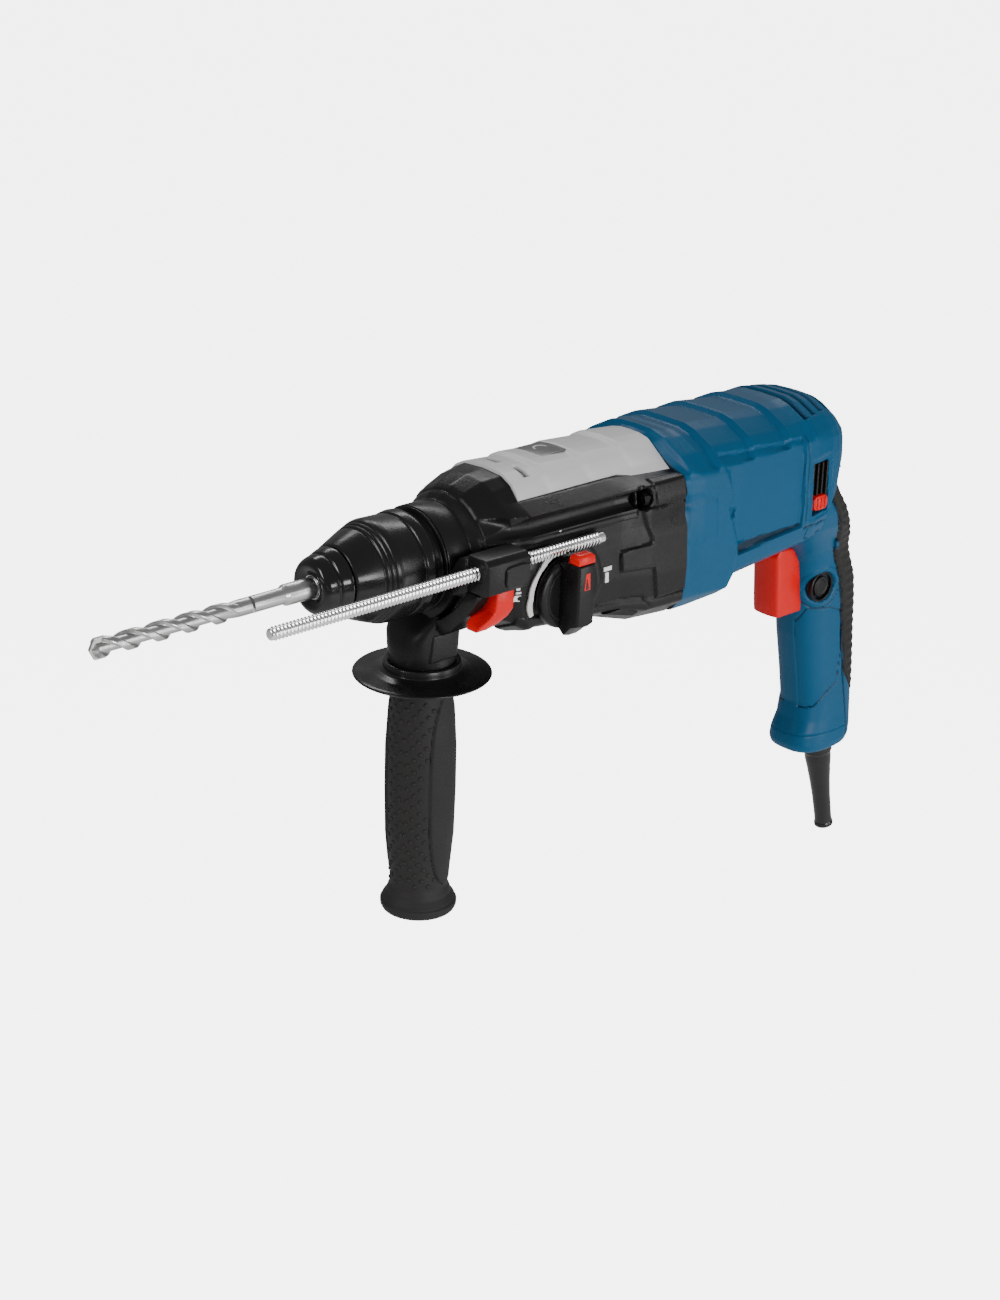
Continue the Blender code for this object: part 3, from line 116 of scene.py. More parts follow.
def placed(name, data):
    """An object that holds some data, in the scene."""
    piece = bpy.data.objects.new(name, data)
    bpy.context.scene.collection.objects.link(piece)
    return piece


def outward(mesh, merge=False):
    """Turn a mesh's faces outwards, first merging its double points if asked."""
    bm = bmesh.new()
    bm.from_mesh(mesh)
    if merge:
        bmesh.ops.remove_doubles(bm, verts=bm.verts, dist=MERGE_DISTANCE)
    bmesh.ops.recalc_face_normals(bm, faces=bm.faces)
    bm.to_mesh(mesh)
    bm.free()


def shaded(mesh, smooth=SHARP_ANGLE):
    """Smooth shading that stays sharp at edges steeper than an angle in degrees."""
    mesh.shade_smooth()
    mesh.set_sharp_from_angle(angle=math.radians(smooth))


def make_piece(name, verts, faces, smooth=SHARP_ANGLE):
    """A mesh object from tool millimetres, with its faces turned outwards."""
    mesh = bpy.data.meshes.new(name)
    mesh.from_pydata(world(verts).tolist(), [], [list(map(int, f)) for f in faces])
    piece = placed(name, mesh)
    outward(mesh, merge=True)
    shaded(mesh, smooth)
    return piece


def finish_piece(piece, body, finish, replaces=()):
    """Give a piece its material and its place in the frame."""
    piece.data.materials.clear()
    piece.data.materials.append(finish)
    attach(piece, body)
    if replaces:
        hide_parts(*replaces)
    return piece


def loft(rings, capped=True):
    """Quads between rings of points that run the same way round, as (verts, faces)."""
    rings = np.asarray(rings, float)
    count, around = rings.shape[:2]
    index = np.arange(count * around).reshape(count, around)
    a, b = index[:-1], index[1:]
    quads = np.stack([a, np.roll(a, -1, 1), np.roll(b, -1, 1), b], -1).reshape(-1, 4)
    faces = quads.tolist()
    if capped:
        faces += [index[0][::-1].tolist(), index[-1].tolist()]
    return rings.reshape(-1, 3), faces


def lathe_rings(profile, around, centre, axis="X"):
    """Rings of a turned shape from (along, radius) points about an axis through centre."""
    angles = np.linspace(0, 2 * np.pi, around, endpoint=False)
    c, s = np.cos(angles), np.sin(angles)
    rings = []
    for along, radius in profile:
        flat = np.full(around, along, float)
        if axis == "X":
            ring = np.stack([flat + centre[0], centre[1] + radius * c, centre[2] + radius * s], -1)
        elif axis == "Y":
            ring = np.stack([centre[0] + radius * c, flat + centre[1], centre[2] + radius * s], -1)
        else:
            ring = np.stack([centre[0] + radius * c, centre[1] + radius * s, flat + centre[2]], -1)
        rings.append(ring)
    return rings


def rounded(profile, radius=0.5, steps=3):
    """Round the inner corners of an open profile of (along, radius) points."""
    points = [np.array(p, float) for p in profile]
    out = [points[0]]
    for before, corner, after in zip(points, points[1:], points[2:]):
        into, away = before - corner, after - corner
        reach = min(radius, np.linalg.norm(into) * 0.45, np.linalg.norm(away) * 0.45)
        if reach < 0.01:
            out.append(corner)
            continue
        start = corner + into / np.linalg.norm(into) * reach
        end = corner + away / np.linalg.norm(away) * reach
        for k in range(steps + 1):
            t = k / steps
            out.append((1 - t) ** 2 * start + 2 * t * (1 - t) * corner + t * t * end)
    return out + [points[-1]]


def turned(name, profile, centre=(0, 0, 0), axis="X", around=96, soften=0.5, smooth=SHARP_ANGLE):
    """A turned piece; its profile is closed when its ends meet, and capped when they don't."""
    closed = np.allclose(profile[0], profile[-1])
    rings = lathe_rings(rounded(profile, soften), around, centre, axis)
    verts, faces = loft(rings, capped=not closed)
    return make_piece(name, verts, faces, smooth)


def joined(name, parts, smooth=SHARP_ANGLE):
    """One piece from several (verts, faces) solids."""
    verts, faces = [], []
    for part_verts, part_faces in parts:
        shift = len(verts)
        verts += np.asarray(part_verts).tolist()
        faces += [[i + shift for i in face] for face in part_faces]
    return make_piece(name, verts, faces, smooth)


def slab(outline, low, high, axis="Y"):
    """A flat plate from an outline and two heights along an axis, as (verts, faces)."""
    rings = []
    for level in (low, high):
        if axis == "Y":
            rings.append([(x, level, z) for x, z in outline])
        elif axis == "X":
            rings.append([(level, y, z) for y, z in outline])
        else:
            rings.append([(x, y, level) for x, y in outline])
    return loft(rings)


def oval(around, wide, high, power_wide, power_high):
    """Points of a rounded rectangle about the origin, from square (0) to elliptical (1) corners."""
    points = []
    for a in np.linspace(0, 2 * math.pi, around, endpoint=False):
        c, s = math.cos(a), math.sin(a)
        points.append((wide * math.copysign(abs(c) ** power_wide, c),
                       high * math.copysign(abs(s) ** power_high, s)))
    return points


def bevelled(piece, width, segments=2, angle=30):
    """Round a piece's edges for good."""
    modifier = piece.modifiers.new("rounded edges", 'BEVEL')
    modifier.width = width * MM
    modifier.segments = segments
    modifier.limit_method = 'ANGLE'
    modifier.angle_limit = math.radians(angle)
    modifier.harden_normals = False
    return settled(piece)


def settled(piece, smooth=SHARP_ANGLE):
    """Replace a piece's mesh by its evaluated one and drop its modifiers."""
    graph = bpy.context.evaluated_depsgraph_get()
    graph.update()
    mesh = bpy.data.meshes.new_from_object(piece.evaluated_get(graph))
    piece.modifiers.clear()
    piece.data = mesh
    shaded(mesh, smooth)
    return piece


def smoothstep(value, low, high):
    t = np.clip((value - low) / (high - low), 0, 1)
    return t * t * (3 - 2 * t)


def inside(x, z, outline):
    """Signed distance of points to a closed outline, positive inside."""
    outline = np.asarray(outline, float)
    best = np.full(x.shape, 1e9)
    crossings = np.zeros(x.shape, int)
    for a, b in zip(outline, np.roll(outline, -1, 0)):
        dx, dz = b - a
        t = np.clip(((x - a[0]) * dx + (z - a[1]) * dz) / (dx * dx + dz * dz + 1e-9), 0, 1)
        best = np.minimum(best, np.hypot(x - a[0] - t * dx, z - a[1] - t * dz))
        spans = (a[1] > z) != (b[1] > z)
        where = a[0] + (z - a[1]) * dx / (dz if abs(dz) > 1e-9 else 1e-9)
        crossings += (spans & (x < where)).astype(int)
    return np.where(crossings % 2 == 1, best, -best)


def panel(x, z, outline, height, edge=0.6):
    """A raised or sunk area with sloping edges."""
    return height * smoothstep(inside(x, z, outline), -edge / 2, edge / 2)


def line(x, z, path, depth, width=0.5):
    """A narrow groove along a path."""
    away = np.full(x.shape, 1e9)
    for a, b in zip(np.asarray(path, float)[:-1], np.asarray(path, float)[1:]):
        dx, dz = b - a
        t = np.clip(((x - a[0]) * dx + (z - a[1]) * dz) / (dx * dx + dz * dz + 1e-9), 0, 1)
        away = np.minimum(away, np.hypot(x - a[0] - t * dx, z - a[1] - t * dz))
    return -depth * (1 - smoothstep(away, width * 0.4, width * 1.1))


def hoop(along, at, depth, width):
    """A groove that runs right round a casing at one station."""
    return line(along, along * 0, [(at, 0), (at - 0.0001, 0)], depth, width)


def casing_rings(keys, xs, spacing, bend=1):
    """Rings of a shell from half outlines at some stations, evenly filled in around and along."""
    places = [k[0] for k in keys]
    halves = np.array([k[1] for k in keys], float)
    mean = halves.mean(0)
    lengths = np.hypot(*np.diff(mean, axis=0).T)
    counts = [max(2, int(round(length / spacing))) for length in lengths]
    rings = []
    for x in xs:
        half = np.stack([[np.interp(x, places, halves[:, i, j]) for j in (0, 1)]
                         for i in range(halves.shape[1])])
        fine = [half[i] + (half[i + 1] - half[i]) * k / n for i, n in enumerate(counts) for k in range(n)]
        fine = np.array(fine + [half[-1]])
        left = fine[1:-1][::-1] * [-1, 1]
        ring = np.concatenate([fine, left])
        rings.append(np.column_stack([np.full(len(ring), x), ring]))
    rings = np.array(rings)
    for _ in range(bend):
        rings[:, :, 1:] = (np.roll(rings, 1, 1) + 2 * rings + np.roll(rings, -1, 1))[:, :, 1:] / 4
    return rings


def ring_normals(rings, skew=True):
    """Outward directions of a shell's points."""
    around = np.roll(rings, -1, 1) - np.roll(rings, 1, 1)
    along = np.gradient(rings, axis=0) if skew else np.array([1.0, 0, 0]) + rings * 0
    normal = np.cross(around, along)
    normal /= np.linalg.norm(normal, axis=2, keepdims=True) + 1e-12
    centre = rings.mean(1, keepdims=True)
    if ((rings - centre) * normal).sum() < 0:
        normal = -normal
    return normal


def painted_shade_attribute(piece, values):
    """Store how deep each point is sunk, so that the finish can darken it."""
    layer = piece.data.attributes.new("painted_shade", 'FLOAT', 'POINT')
    layer.data.foreach_set("value", np.asarray(values, float))


def shell_piece(name, rings, offset, painted_shade):
    """A capped shell from displaced rings, keeping the depth of its grooves."""
    moved = rings + ring_normals(rings) * offset[..., None]
    verts, faces = loft(moved)
    mesh = bpy.data.meshes.new(name)
    mesh.from_pydata(world(verts).tolist(), [], faces)
    piece = placed(name, mesh)
    painted_shade_attribute(piece, np.clip(painted_shade, 0, 1).reshape(-1))
    outward(mesh)
    shaded(mesh)
    return piece


# ---------------------------------------------------------------- finishes

def value_group(name, inputs, outputs):
    """An empty shader node group with named sockets."""
    group = bpy.data.node_groups.new(name, 'ShaderNodeTree')
    for label, kind, default in inputs:
        socket = group.interface.new_socket(name=label, in_out='INPUT', socket_type=kind)
        if default is not None:
            socket.default_value = default
    for label, kind in outputs:
        group.interface.new_socket(name=label, in_out='OUTPUT', socket_type=kind)
    start = group.nodes.new('NodeGroupInput')
    end = group.nodes.new('NodeGroupOutput')
    return group, start, end


def add_node(tree, kind, **values):
    node = tree.nodes.new(kind)
    for key, value in values.items():
        if key in node.inputs:
            node.inputs[key].default_value = value
        else:
            setattr(node, key, value)
    return node


def moulded_group():
    """Fine mould texture, slow gloss changes and light dust, for plastics and rubbers."""
    group, start, end = value_group("moulded surface", [
        ("Colour", 'NodeSocketColor', (0.5, 0.5, 0.5, 1)), ("Roughness", 'NodeSocketFloat', 0.5),
        ("Grain size", 'NodeSocketFloat', 900.0), ("Grain", 'NodeSocketFloat', 0.5),
        ("Mottle", 'NodeSocketFloat', 0.05), ("Dust", 'NodeSocketFloat', 0.05)],
        [("Colour", 'NodeSocketColor'), ("Roughness", 'NodeSocketFloat'), ("Height", 'NodeSocketFloat')])
    nodes, links = group.nodes, group.links
    place = nodes.new('ShaderNodeTexCoord')
    fine = add_node(group, 'ShaderNodeTexNoise', Detail=2.0, Roughness=0.6)
    links.new(place.outputs["Object"], fine.inputs["Vector"])
    links.new(start.outputs["Grain size"], fine.inputs["Scale"])
    slow = add_node(group, 'ShaderNodeTexNoise', Scale=38.0, Detail=4.0, Roughness=0.55)
    links.new(place.outputs["Object"], slow.inputs["Vector"])
    specks = add_node(group, 'ShaderNodeTexVoronoi', Scale=260.0)
    links.new(place.outputs["Object"], specks.inputs["Vector"])
    spot = add_node(group, 'ShaderNodeMapRange')
    spot.inputs["From Min"].default_value = 0.10
    spot.inputs["From Max"].default_value = 0.02
    links.new(specks.outputs["Distance"], spot.inputs["Value"])
    sparse = add_node(group, 'ShaderNodeMapRange')
    sparse.inputs["From Min"].default_value = 0.52
    sparse.inputs["From Max"].default_value = 0.66
    links.new(slow.outputs["Fac"], sparse.inputs["Value"])
    dust = add_node(group, 'ShaderNodeMath', operation='MULTIPLY')
    links.new(spot.outputs["Result"], dust.inputs[0])
    links.new(sparse.outputs["Result"], dust.inputs[1])
    dusty = add_node(group, 'ShaderNodeMath', operation='MULTIPLY')
    links.new(dust.outputs[0], dusty.inputs[0])
    links.new(start.outputs["Dust"], dusty.inputs[1])
    centred = add_node(group, 'ShaderNodeMath', operation='SUBTRACT')
    centred.inputs[1].default_value = 0.5
    links.new(slow.outputs["Fac"], centred.inputs[0])
    drift = add_node(group, 'ShaderNodeMath', operation='MULTIPLY')
    links.new(centred.outputs[0], drift.inputs[0])
    links.new(start.outputs["Mottle"], drift.inputs[1])
    gain = add_node(group, 'ShaderNodeMath', operation='ADD')
    gain.inputs[1].default_value = 1.0
    links.new(drift.outputs[0], gain.inputs[0])
    toned = add_node(group, 'ShaderNodeVectorMath', operation='SCALE')
    links.new(start.outputs["Colour"], toned.inputs[0])
    links.new(gain.outputs[0], toned.inputs["Scale"])
    pale = add_node(group, 'ShaderNodeMix', data_type='RGBA')
    pale.inputs["B"].default_value = (0.45, 0.44, 0.42, 1)
    links.new(toned.outputs[0], pale.inputs["A"])
    links.new(dusty.outputs[0], pale.inputs["Factor"])
    links.new(pale.outputs["Result"], end.inputs["Colour"])
    rough = add_node(group, 'ShaderNodeMath', operation='MULTIPLY_ADD')
    rough.inputs[1].default_value = 1.6
    links.new(drift.outputs[0], rough.inputs[0])
    links.new(start.outputs["Roughness"], rough.inputs[2])
    links.new(rough.outputs[0], end.inputs["Roughness"])
    height = add_node(group, 'ShaderNodeMath', operation='MULTIPLY')
    links.new(fine.outputs["Fac"], height.inputs[0])
    links.new(start.outputs["Grain"], height.inputs[1])
    links.new(height.outputs[0], end.inputs["Height"])
    return group


def wear_and_painted_shade_group():
    """Paler, drier colour along exposed edges and a dark tone in sunk places."""
    group, start, end = value_group("edge wear and painted shade", [
        ("Colour", 'NodeSocketColor', (0.5, 0.5, 0.5, 1)), ("Wear", 'NodeSocketFloat', 0.2),
        ("Worn colour", 'NodeSocketColor', (0.6, 0.6, 0.6, 1)), ("Painted shade strength", 'NodeSocketFloat', 0.9)],
        [("Colour", 'NodeSocketColor')])
    links = group.links
    shape = add_node(group, 'ShaderNodeNewGeometry')
    edge = add_node(group, 'ShaderNodeMapRange')
    edge.inputs["From Min"].default_value = 0.53
    edge.inputs["From Max"].default_value = 0.60
    links.new(shape.outputs["Pointiness"], edge.inputs["Value"])
    place = add_node(group, 'ShaderNodeTexCoord')
    patchy = add_node(group, 'ShaderNodeTexNoise', Scale=70.0, Detail=3.0)
    links.new(place.outputs["Object"], patchy.inputs["Vector"])
    broken = add_node(group, 'ShaderNodeMath', operation='MULTIPLY')
    links.new(edge.outputs["Result"], broken.inputs[0])
    links.new(patchy.outputs["Fac"], broken.inputs[1])
    amount = add_node(group, 'ShaderNodeMath', operation='MULTIPLY')
    links.new(broken.outputs[0], amount.inputs[0])
    links.new(start.outputs["Wear"], amount.inputs[1])
    worn = add_node(group, 'ShaderNodeMix', data_type='RGBA')
    links.new(start.outputs["Colour"], worn.inputs["A"])
    links.new(start.outputs["Worn colour"], worn.inputs["B"])
    links.new(amount.outputs[0], worn.inputs["Factor"])
    # Painted shade: grooves and hollows are darkened towards near-black by their stored amount, standing in
    # for shade.
    painted_shade = add_node(group, 'ShaderNodeAttribute', attribute_name="painted_shade")
    deep = add_node(group, 'ShaderNodeMath', operation='MULTIPLY')
    links.new(painted_shade.outputs["Fac"], deep.inputs[0])
    links.new(start.outputs["Painted shade strength"], deep.inputs[1])
    dark = add_node(group, 'ShaderNodeMix', data_type='RGBA')
    dark.inputs["B"].default_value = (0.004, 0.004, 0.005, 1)
    links.new(worn.outputs["Result"], dark.inputs["A"])
    links.new(deep.outputs[0], dark.inputs["Factor"])
    links.new(dark.outputs["Result"], end.inputs["Colour"])
    return group


def machined_group():
    """Turning marks, faint smears and gloss changes for bare metal."""
    group, start, end = value_group("machined metal", [
        ("Colour", 'NodeSocketColor', (0.6, 0.6, 0.6, 1)), ("Roughness", 'NodeSocketFloat', 0.3),
        ("Marks", 'NodeSocketFloat', 0.3), ("Stretch", 'NodeSocketVector', (2600.0, 60.0, 60.0))],
        [("Colour", 'NodeSocketColor'), ("Roughness", 'NodeSocketFloat'), ("Height", 'NodeSocketFloat')])
    links = group.links
    place = add_node(group, 'ShaderNodeTexCoord')
    stretch = add_node(group, 'ShaderNodeVectorMath', operation='MULTIPLY')
    links.new(place.outputs["Object"], stretch.inputs[0])
    links.new(start.outputs["Stretch"], stretch.inputs[1])
    marks = add_node(group, 'ShaderNodeTexNoise', Scale=1.0, Detail=3.0, Roughness=0.6)
    links.new(stretch.outputs[0], marks.inputs["Vector"])
    smear = add_node(group, 'ShaderNodeTexNoise', Scale=55.0, Detail=4.0, Roughness=0.6)
    links.new(place.outputs["Object"], smear.inputs["Vector"])
    tone = add_node(group, 'ShaderNodeMapRange')
    tone.inputs["To Min"].default_value = 0.82
    tone.inputs["To Max"].default_value = 1.12
    links.new(smear.outputs["Fac"], tone.inputs["Value"])
    toned = add_node(group, 'ShaderNodeVectorMath', operation='SCALE')
    links.new(start.outputs["Colour"], toned.inputs[0])
    links.new(tone.outputs["Result"], toned.inputs["Scale"])
    links.new(toned.outputs[0], end.inputs["Colour"])
    rough = add_node(group, 'ShaderNodeMath', operation='MULTIPLY_ADD')
    rough.inputs[1].default_value = 0.16
    links.new(smear.outputs["Fac"], rough.inputs[0])
    links.new(start.outputs["Roughness"], rough.inputs[2])
    links.new(rough.outputs[0], end.inputs["Roughness"])
    height = add_node(group, 'ShaderNodeMath', operation='MULTIPLY')
    links.new(marks.outputs["Fac"], height.inputs[0])
    links.new(start.outputs["Marks"], height.inputs[1])
    links.new(height.outputs[0], end.inputs["Height"])
    return group


GROUPS = {}
FINISHES = {}


def shared(label, build):
    if label not in GROUPS:
        GROUPS[label] = build()
    return GROUPS[label]


def plastic(name, colour, roughness, grain=0.5, size=900.0, bump=0.1, wear=0.12, worn=None, mottle=0.10,
            dust=0.06, coat=0.0, specular=0.5, painted_shade_strength=0.92):
    """Moulded plastic or rubber."""
    if name in FINISHES:
        return FINISHES[name]
    finish = bpy.data.materials.new(name)
    finish.use_nodes = True
    tree = finish.node_tree
    shader = tree.nodes["Principled BSDF"]
    shader.inputs["Coat Weight"].default_value = coat
    shader.inputs["Coat Roughness"].default_value = 0.25
    shader.inputs["Specular IOR Level"].default_value = specular
    surface = add_node(tree, 'ShaderNodeGroup')
    surface.node_tree = shared("moulded", moulded_group)
    surface.inputs["Colour"].default_value = (*colour, 1)
    surface.inputs["Roughness"].default_value = roughness
    surface.inputs["Grain size"].default_value = size
    surface.inputs["Grain"].default_value = grain
    surface.inputs["Mottle"].default_value = mottle
    surface.inputs["Dust"].default_value = dust
    # Edge wear, and painted shade that darkens grooves and hollows.
    edges = add_node(tree, 'ShaderNodeGroup')
    edges.node_tree = shared("edges", wear_and_painted_shade_group)
    edges.inputs["Wear"].default_value = wear
    edges.inputs["Painted shade strength"].default_value = painted_shade_strength
    edges.inputs["Worn colour"].default_value = (*(worn or [min(1, c * 2.2 + 0.03) for c in colour]), 1)
    tree.links.new(surface.outputs["Colour"], edges.inputs["Colour"])
    tree.links.new(edges.outputs["Colour"], shader.inputs["Base Color"])
    tree.links.new(surface.outputs["Roughness"], shader.inputs["Roughness"])
    relief = add_node(tree, 'ShaderNodeBump', Strength=bump)
    relief.inputs["Distance"].default_value = 0.0004
    tree.links.new(surface.outputs["Height"], relief.inputs["Height"])
    tree.links.new(relief.outputs["Normal"], shader.inputs["Normal"])
    finish.diffuse_color = (*colour, 1)
    FINISHES[name] = finish
    return finish


def metal(name, colour, roughness, marks=0.3, stretch=(2600.0, 60.0, 60.0), bump=0.12):
    """Bare or plated metal."""
    if name in FINISHES:
        return FINISHES[name]
    finish = bpy.data.materials.new(name)
    finish.use_nodes = True
    tree = finish.node_tree
    shader = tree.nodes["Principled BSDF"]
    shader.inputs["Metallic"].default_value = 1.0
    surface = add_node(tree, 'ShaderNodeGroup')
    surface.node_tree = shared("machined", machined_group)
    surface.inputs["Colour"].default_value = (*colour, 1)
    surface.inputs["Roughness"].default_value = roughness
    surface.inputs["Marks"].default_value = marks
    surface.inputs["Stretch"].default_value = stretch
    tree.links.new(surface.outputs["Colour"], shader.inputs["Base Color"])
    tree.links.new(surface.outputs["Roughness"], shader.inputs["Roughness"])
    relief = add_node(tree, 'ShaderNodeBump', Strength=bump)
    relief.inputs["Distance"].default_value = 0.0003
    tree.links.new(surface.outputs["Height"], relief.inputs["Height"])
    tree.links.new(relief.outputs["Normal"], shader.inputs["Normal"])
    finish.diffuse_color = (*colour, 1)
    FINISHES[name] = finish
    return finish


def paint_of(part):
    """The finish of a part from the sidebar's colours."""
    look = bpy.context.scene.hammer_colours
    blue, black, grey = tuple(look.casing), tuple(look.body), tuple(look.cover)
    red, soft = tuple(look.controls), tuple(look.soft)
    makers = {
        "casing": lambda: plastic("blue nylon", blue, 0.42, grain=0.7, size=700.0, bump=0.16, mottle=0.16,
                                  wear=0.16, specular=0.2),
        "body": lambda: plastic("black nylon", black, 0.33, grain=0.8, size=620.0, bump=0.20, mottle=0.30,
                                wear=0.10, worn=(0.07, 0.07, 0.07), dust=0.02, specular=0.2),
        # The cover's grooves and clip slots get strong painted shade.
        "cover": lambda: plastic("grey plastic", grey, 0.42, grain=0.5, size=900.0, bump=0.10, mottle=0.10,
                                 wear=0.15, worn=(0.75, 0.75, 0.76), dust=0.02, painted_shade_strength=0.97),
        "controls": lambda: plastic("red plastic", red, 0.30, grain=0.4, size=900.0, bump=0.08, mottle=0.16,
                                    wear=0.12, worn=(0.7, 0.08, 0.05), dust=0.0, specular=0.25),
        "soft": lambda: plastic("soft grip rubber", soft, 0.62, grain=0.9, size=520.0, bump=0.3, mottle=0.30,
                                wear=0.16, worn=(0.06, 0.055, 0.05), dust=0.03, specular=0.2),
        "gloss": lambda: plastic("smooth rubber", (0.006, 0.006, 0.0065), 0.22, grain=0.25, size=700.0,
                                 bump=0.08, mottle=0.35, wear=0.06, worn=(0.05, 0.05, 0.05), dust=0.02,
                                 specular=0.4),
        "sleeve": lambda: plastic("chuck sleeve nylon", (0.0075, 0.0075, 0.0075), 0.27, grain=0.6,
                                  size=650.0,
                                  bump=0.14, mottle=0.35, wear=0.08, worn=(0.06, 0.06, 0.06), dust=0.02,
                                  specular=0.3),
        "mark": lambda: plastic("white printing", (0.78, 0.78, 0.76), 0.5, grain=0.3, bump=0.05, mottle=0.08,
                                wear=0.0, dust=0.02),
        "label": lambda: plastic("label foil", (0.085, 0.088, 0.082), 0.35, grain=0.3, bump=0.05,
                                 mottle=0.2, wear=0.0, dust=0.03),
        "plated": lambda: metal("bright plating", (0.83, 0.83, 0.84), 0.12, marks=0.4,
                                stretch=(900.0, 90.0, 90.0)),
        "bit": lambda: metal("ground tool steel", (0.52, 0.52, 0.51), 0.22, marks=0.8,
                             stretch=(1400.0, 200.0, 200.0), bump=0.25),
        "dark": lambda: metal("blackened steel", (0.02, 0.02, 0.021), 0.35, marks=0.6),
        "steel": lambda: metal("turned steel", (0.46, 0.47, 0.48), 0.24, marks=0.6),
        "aluminium": lambda: metal("cast aluminium", (0.66, 0.67, 0.68), 0.42, marks=0.8,
                                   stretch=(700.0, 700.0, 700.0), bump=0.3),
        "laminate": lambda: metal("stacked laminations", (0.30, 0.31, 0.32), 0.40, marks=1.0,
                                  stretch=(2000.0, 20.0, 20.0), bump=0.5),
        "copper": lambda: metal("lacquered copper", (0.72, 0.32, 0.13), 0.26, marks=0.8,
                                stretch=(60.0, 1800.0, 1800.0), bump=0.4),
        "carbon": lambda: plastic("pressed carbon", (0.035, 0.035, 0.038), 0.6, grain=0.9, size=400.0),
        "insulator": lambda: plastic("brown resin", (0.22, 0.11, 0.05), 0.5, grain=0.6, size=700.0,
                                     mottle=0.3),
    }
    return makers[part]()


SLOT_PARTS = {"blue": "casing", "black": "body", "grey": "cover", "red": "controls", "soft": "soft",
              "rubber": "gloss", "steel": "steel", "bright": "plated", "aluminium": "aluminium",
              "laminate": "laminate", "copper": "copper", "carbon": "carbon", "insulator": "insulator"}


# ---------------------------------------------------------------- casings

BLUE_KEYS = [
    (200.3, [(0, 35.2), (7, 34.6), (13.5, 32.2), (21, 27.2), (29, 23.6), (37.6, 21.3), (40.0, 14), (38.0, 5),
             (41, -8), (42, -25), (41, -41), (33, -50), (14, -51.5), (0, -51.5)]),
    (203.5, [(0, 36.6), (10, 36.2), (18, 34.2), (25, 30.4), (30.5, 27.4), (39.2, 21.4), (40.8, 13),
             (40.4, 3),
             (41.4, -9), (42, -26), (41, -41.5), (33, -50), (14, -51.5), (0, -51.5)]),
    (212.0, [(0, 37.0), (13, 36.8), (20, 35.2), (27, 31.6), (32, 29.0), (40.3, 20.8), (41.3, 12), (41.3, 0),
             (41.5, -12), (41.5, -28), (40.6, -42), (33, -50), (14, -51.4), (0, -51.4)]),
    (234.0, [(0, 37.4), (13, 37.2), (20, 35.4), (27, 31.9), (32, 29.3), (40.3, 20.8), (41.3, 12), (41.3, 0),
             (41.4, -12), (41.4, -29), (40.2, -43.5), (32, -49.5), (14, -50.5), (0, -50.5)]),
    (240.0, [(0, 37.4), (13, 37.2), (20, 35.4), (27, 31.9), (32, 29.3), (40.3, 20.8), (41.3, 12), (41.3, 0),
             (41.4, -12), (41.2, -25), (39.6, -36), (31, -43), (14, -44.8), (0, -45)]),
    (300.0, [(0, 36.9), (12, 36.6), (18.5, 35.0), (25.5, 31.6), (30.5, 29.0), (38.8, 20.6), (39.6, 12),
             (39.8, 0), (39.8, -12), (39.4, -22), (36.5, -33), (28, -39.5), (13, -41), (0, -41)]),
    (313.0, [(0, 35.8), (11.5, 35.4), (17.5, 33.8), (24, 30.6), (28.5, 28.0), (36.2, 20), (37.3, 12),
             (37.6, 1),
             (37.7, -11), (37.2, -21), (33.5, -32), (25, -38.5), (12, -40), (0, -40)]),
    (321.0, [(0, 34.2), (11, 33.7), (16.5, 32.0), (22.8, 29.0), (27, 26.4), (33.6, 19), (34.8, 11),
             (35.1, 2),
             (35.1, -6), (34.6, -12), (31.5, -18), (24, -21), (12, -22), (0, -22)]),
    (326.2, [(0, 32.4), (10, 31.9), (15.5, 30.1), (21, 27.2), (25, 24.6), (31.2, 17.6), (32.2, 11),
             (32.4, 8),
             (32.4, 5), (31.8, 2), (29, 0), (21, -1), (10, -1.5), (0, -1.5)]),
    (326.8, [(0, 32.3), (10, 31.8), (15.5, 30), (21, 27), (25, 24.6), (30.5, 18), (31.4, 15), (31.5, 13),
             (31.3, 12), (31, 11), (28, 10), (20, 9.6), (10, 9.4), (0, 9.3)]),
    (330.0, [(0, 30.6), (9.5, 30.2), (14.5, 28.4), (19.2, 25.8), (23, 23.4), (27.5, 18.8), (28.2, 16.6),
             (28.3, 14.8), (28.0, 13.8), (27.6, 12.8), (25.2, 11.6), (18.2, 10.9), (9, 10.6), (0, 10.5)]),
    (332.9, [(0, 27.8), (8.5, 27.3), (12.6, 25.9), (16.6, 23.8), (19.8, 21.9), (23, 19), (23.6, 17.6),
             (23.6, 16.4), (23.3, 15.5), (22.8, 14.7), (20.8, 13.6), (15, 12.9), (7.5, 12.6), (0, 12.6)]),
    (334.8, [(0, 24.4), (6.5, 24.1), (9.6, 23.2), (12.4, 22.1), (14.6, 21.2), (16.2, 19.6), (16.5, 19),
             (16.5, 18.4), (16.3, 17.9), (15.9, 17.4), (14.6, 16.7), (11, 16.2), (6, 16), (0, 16)]),
]

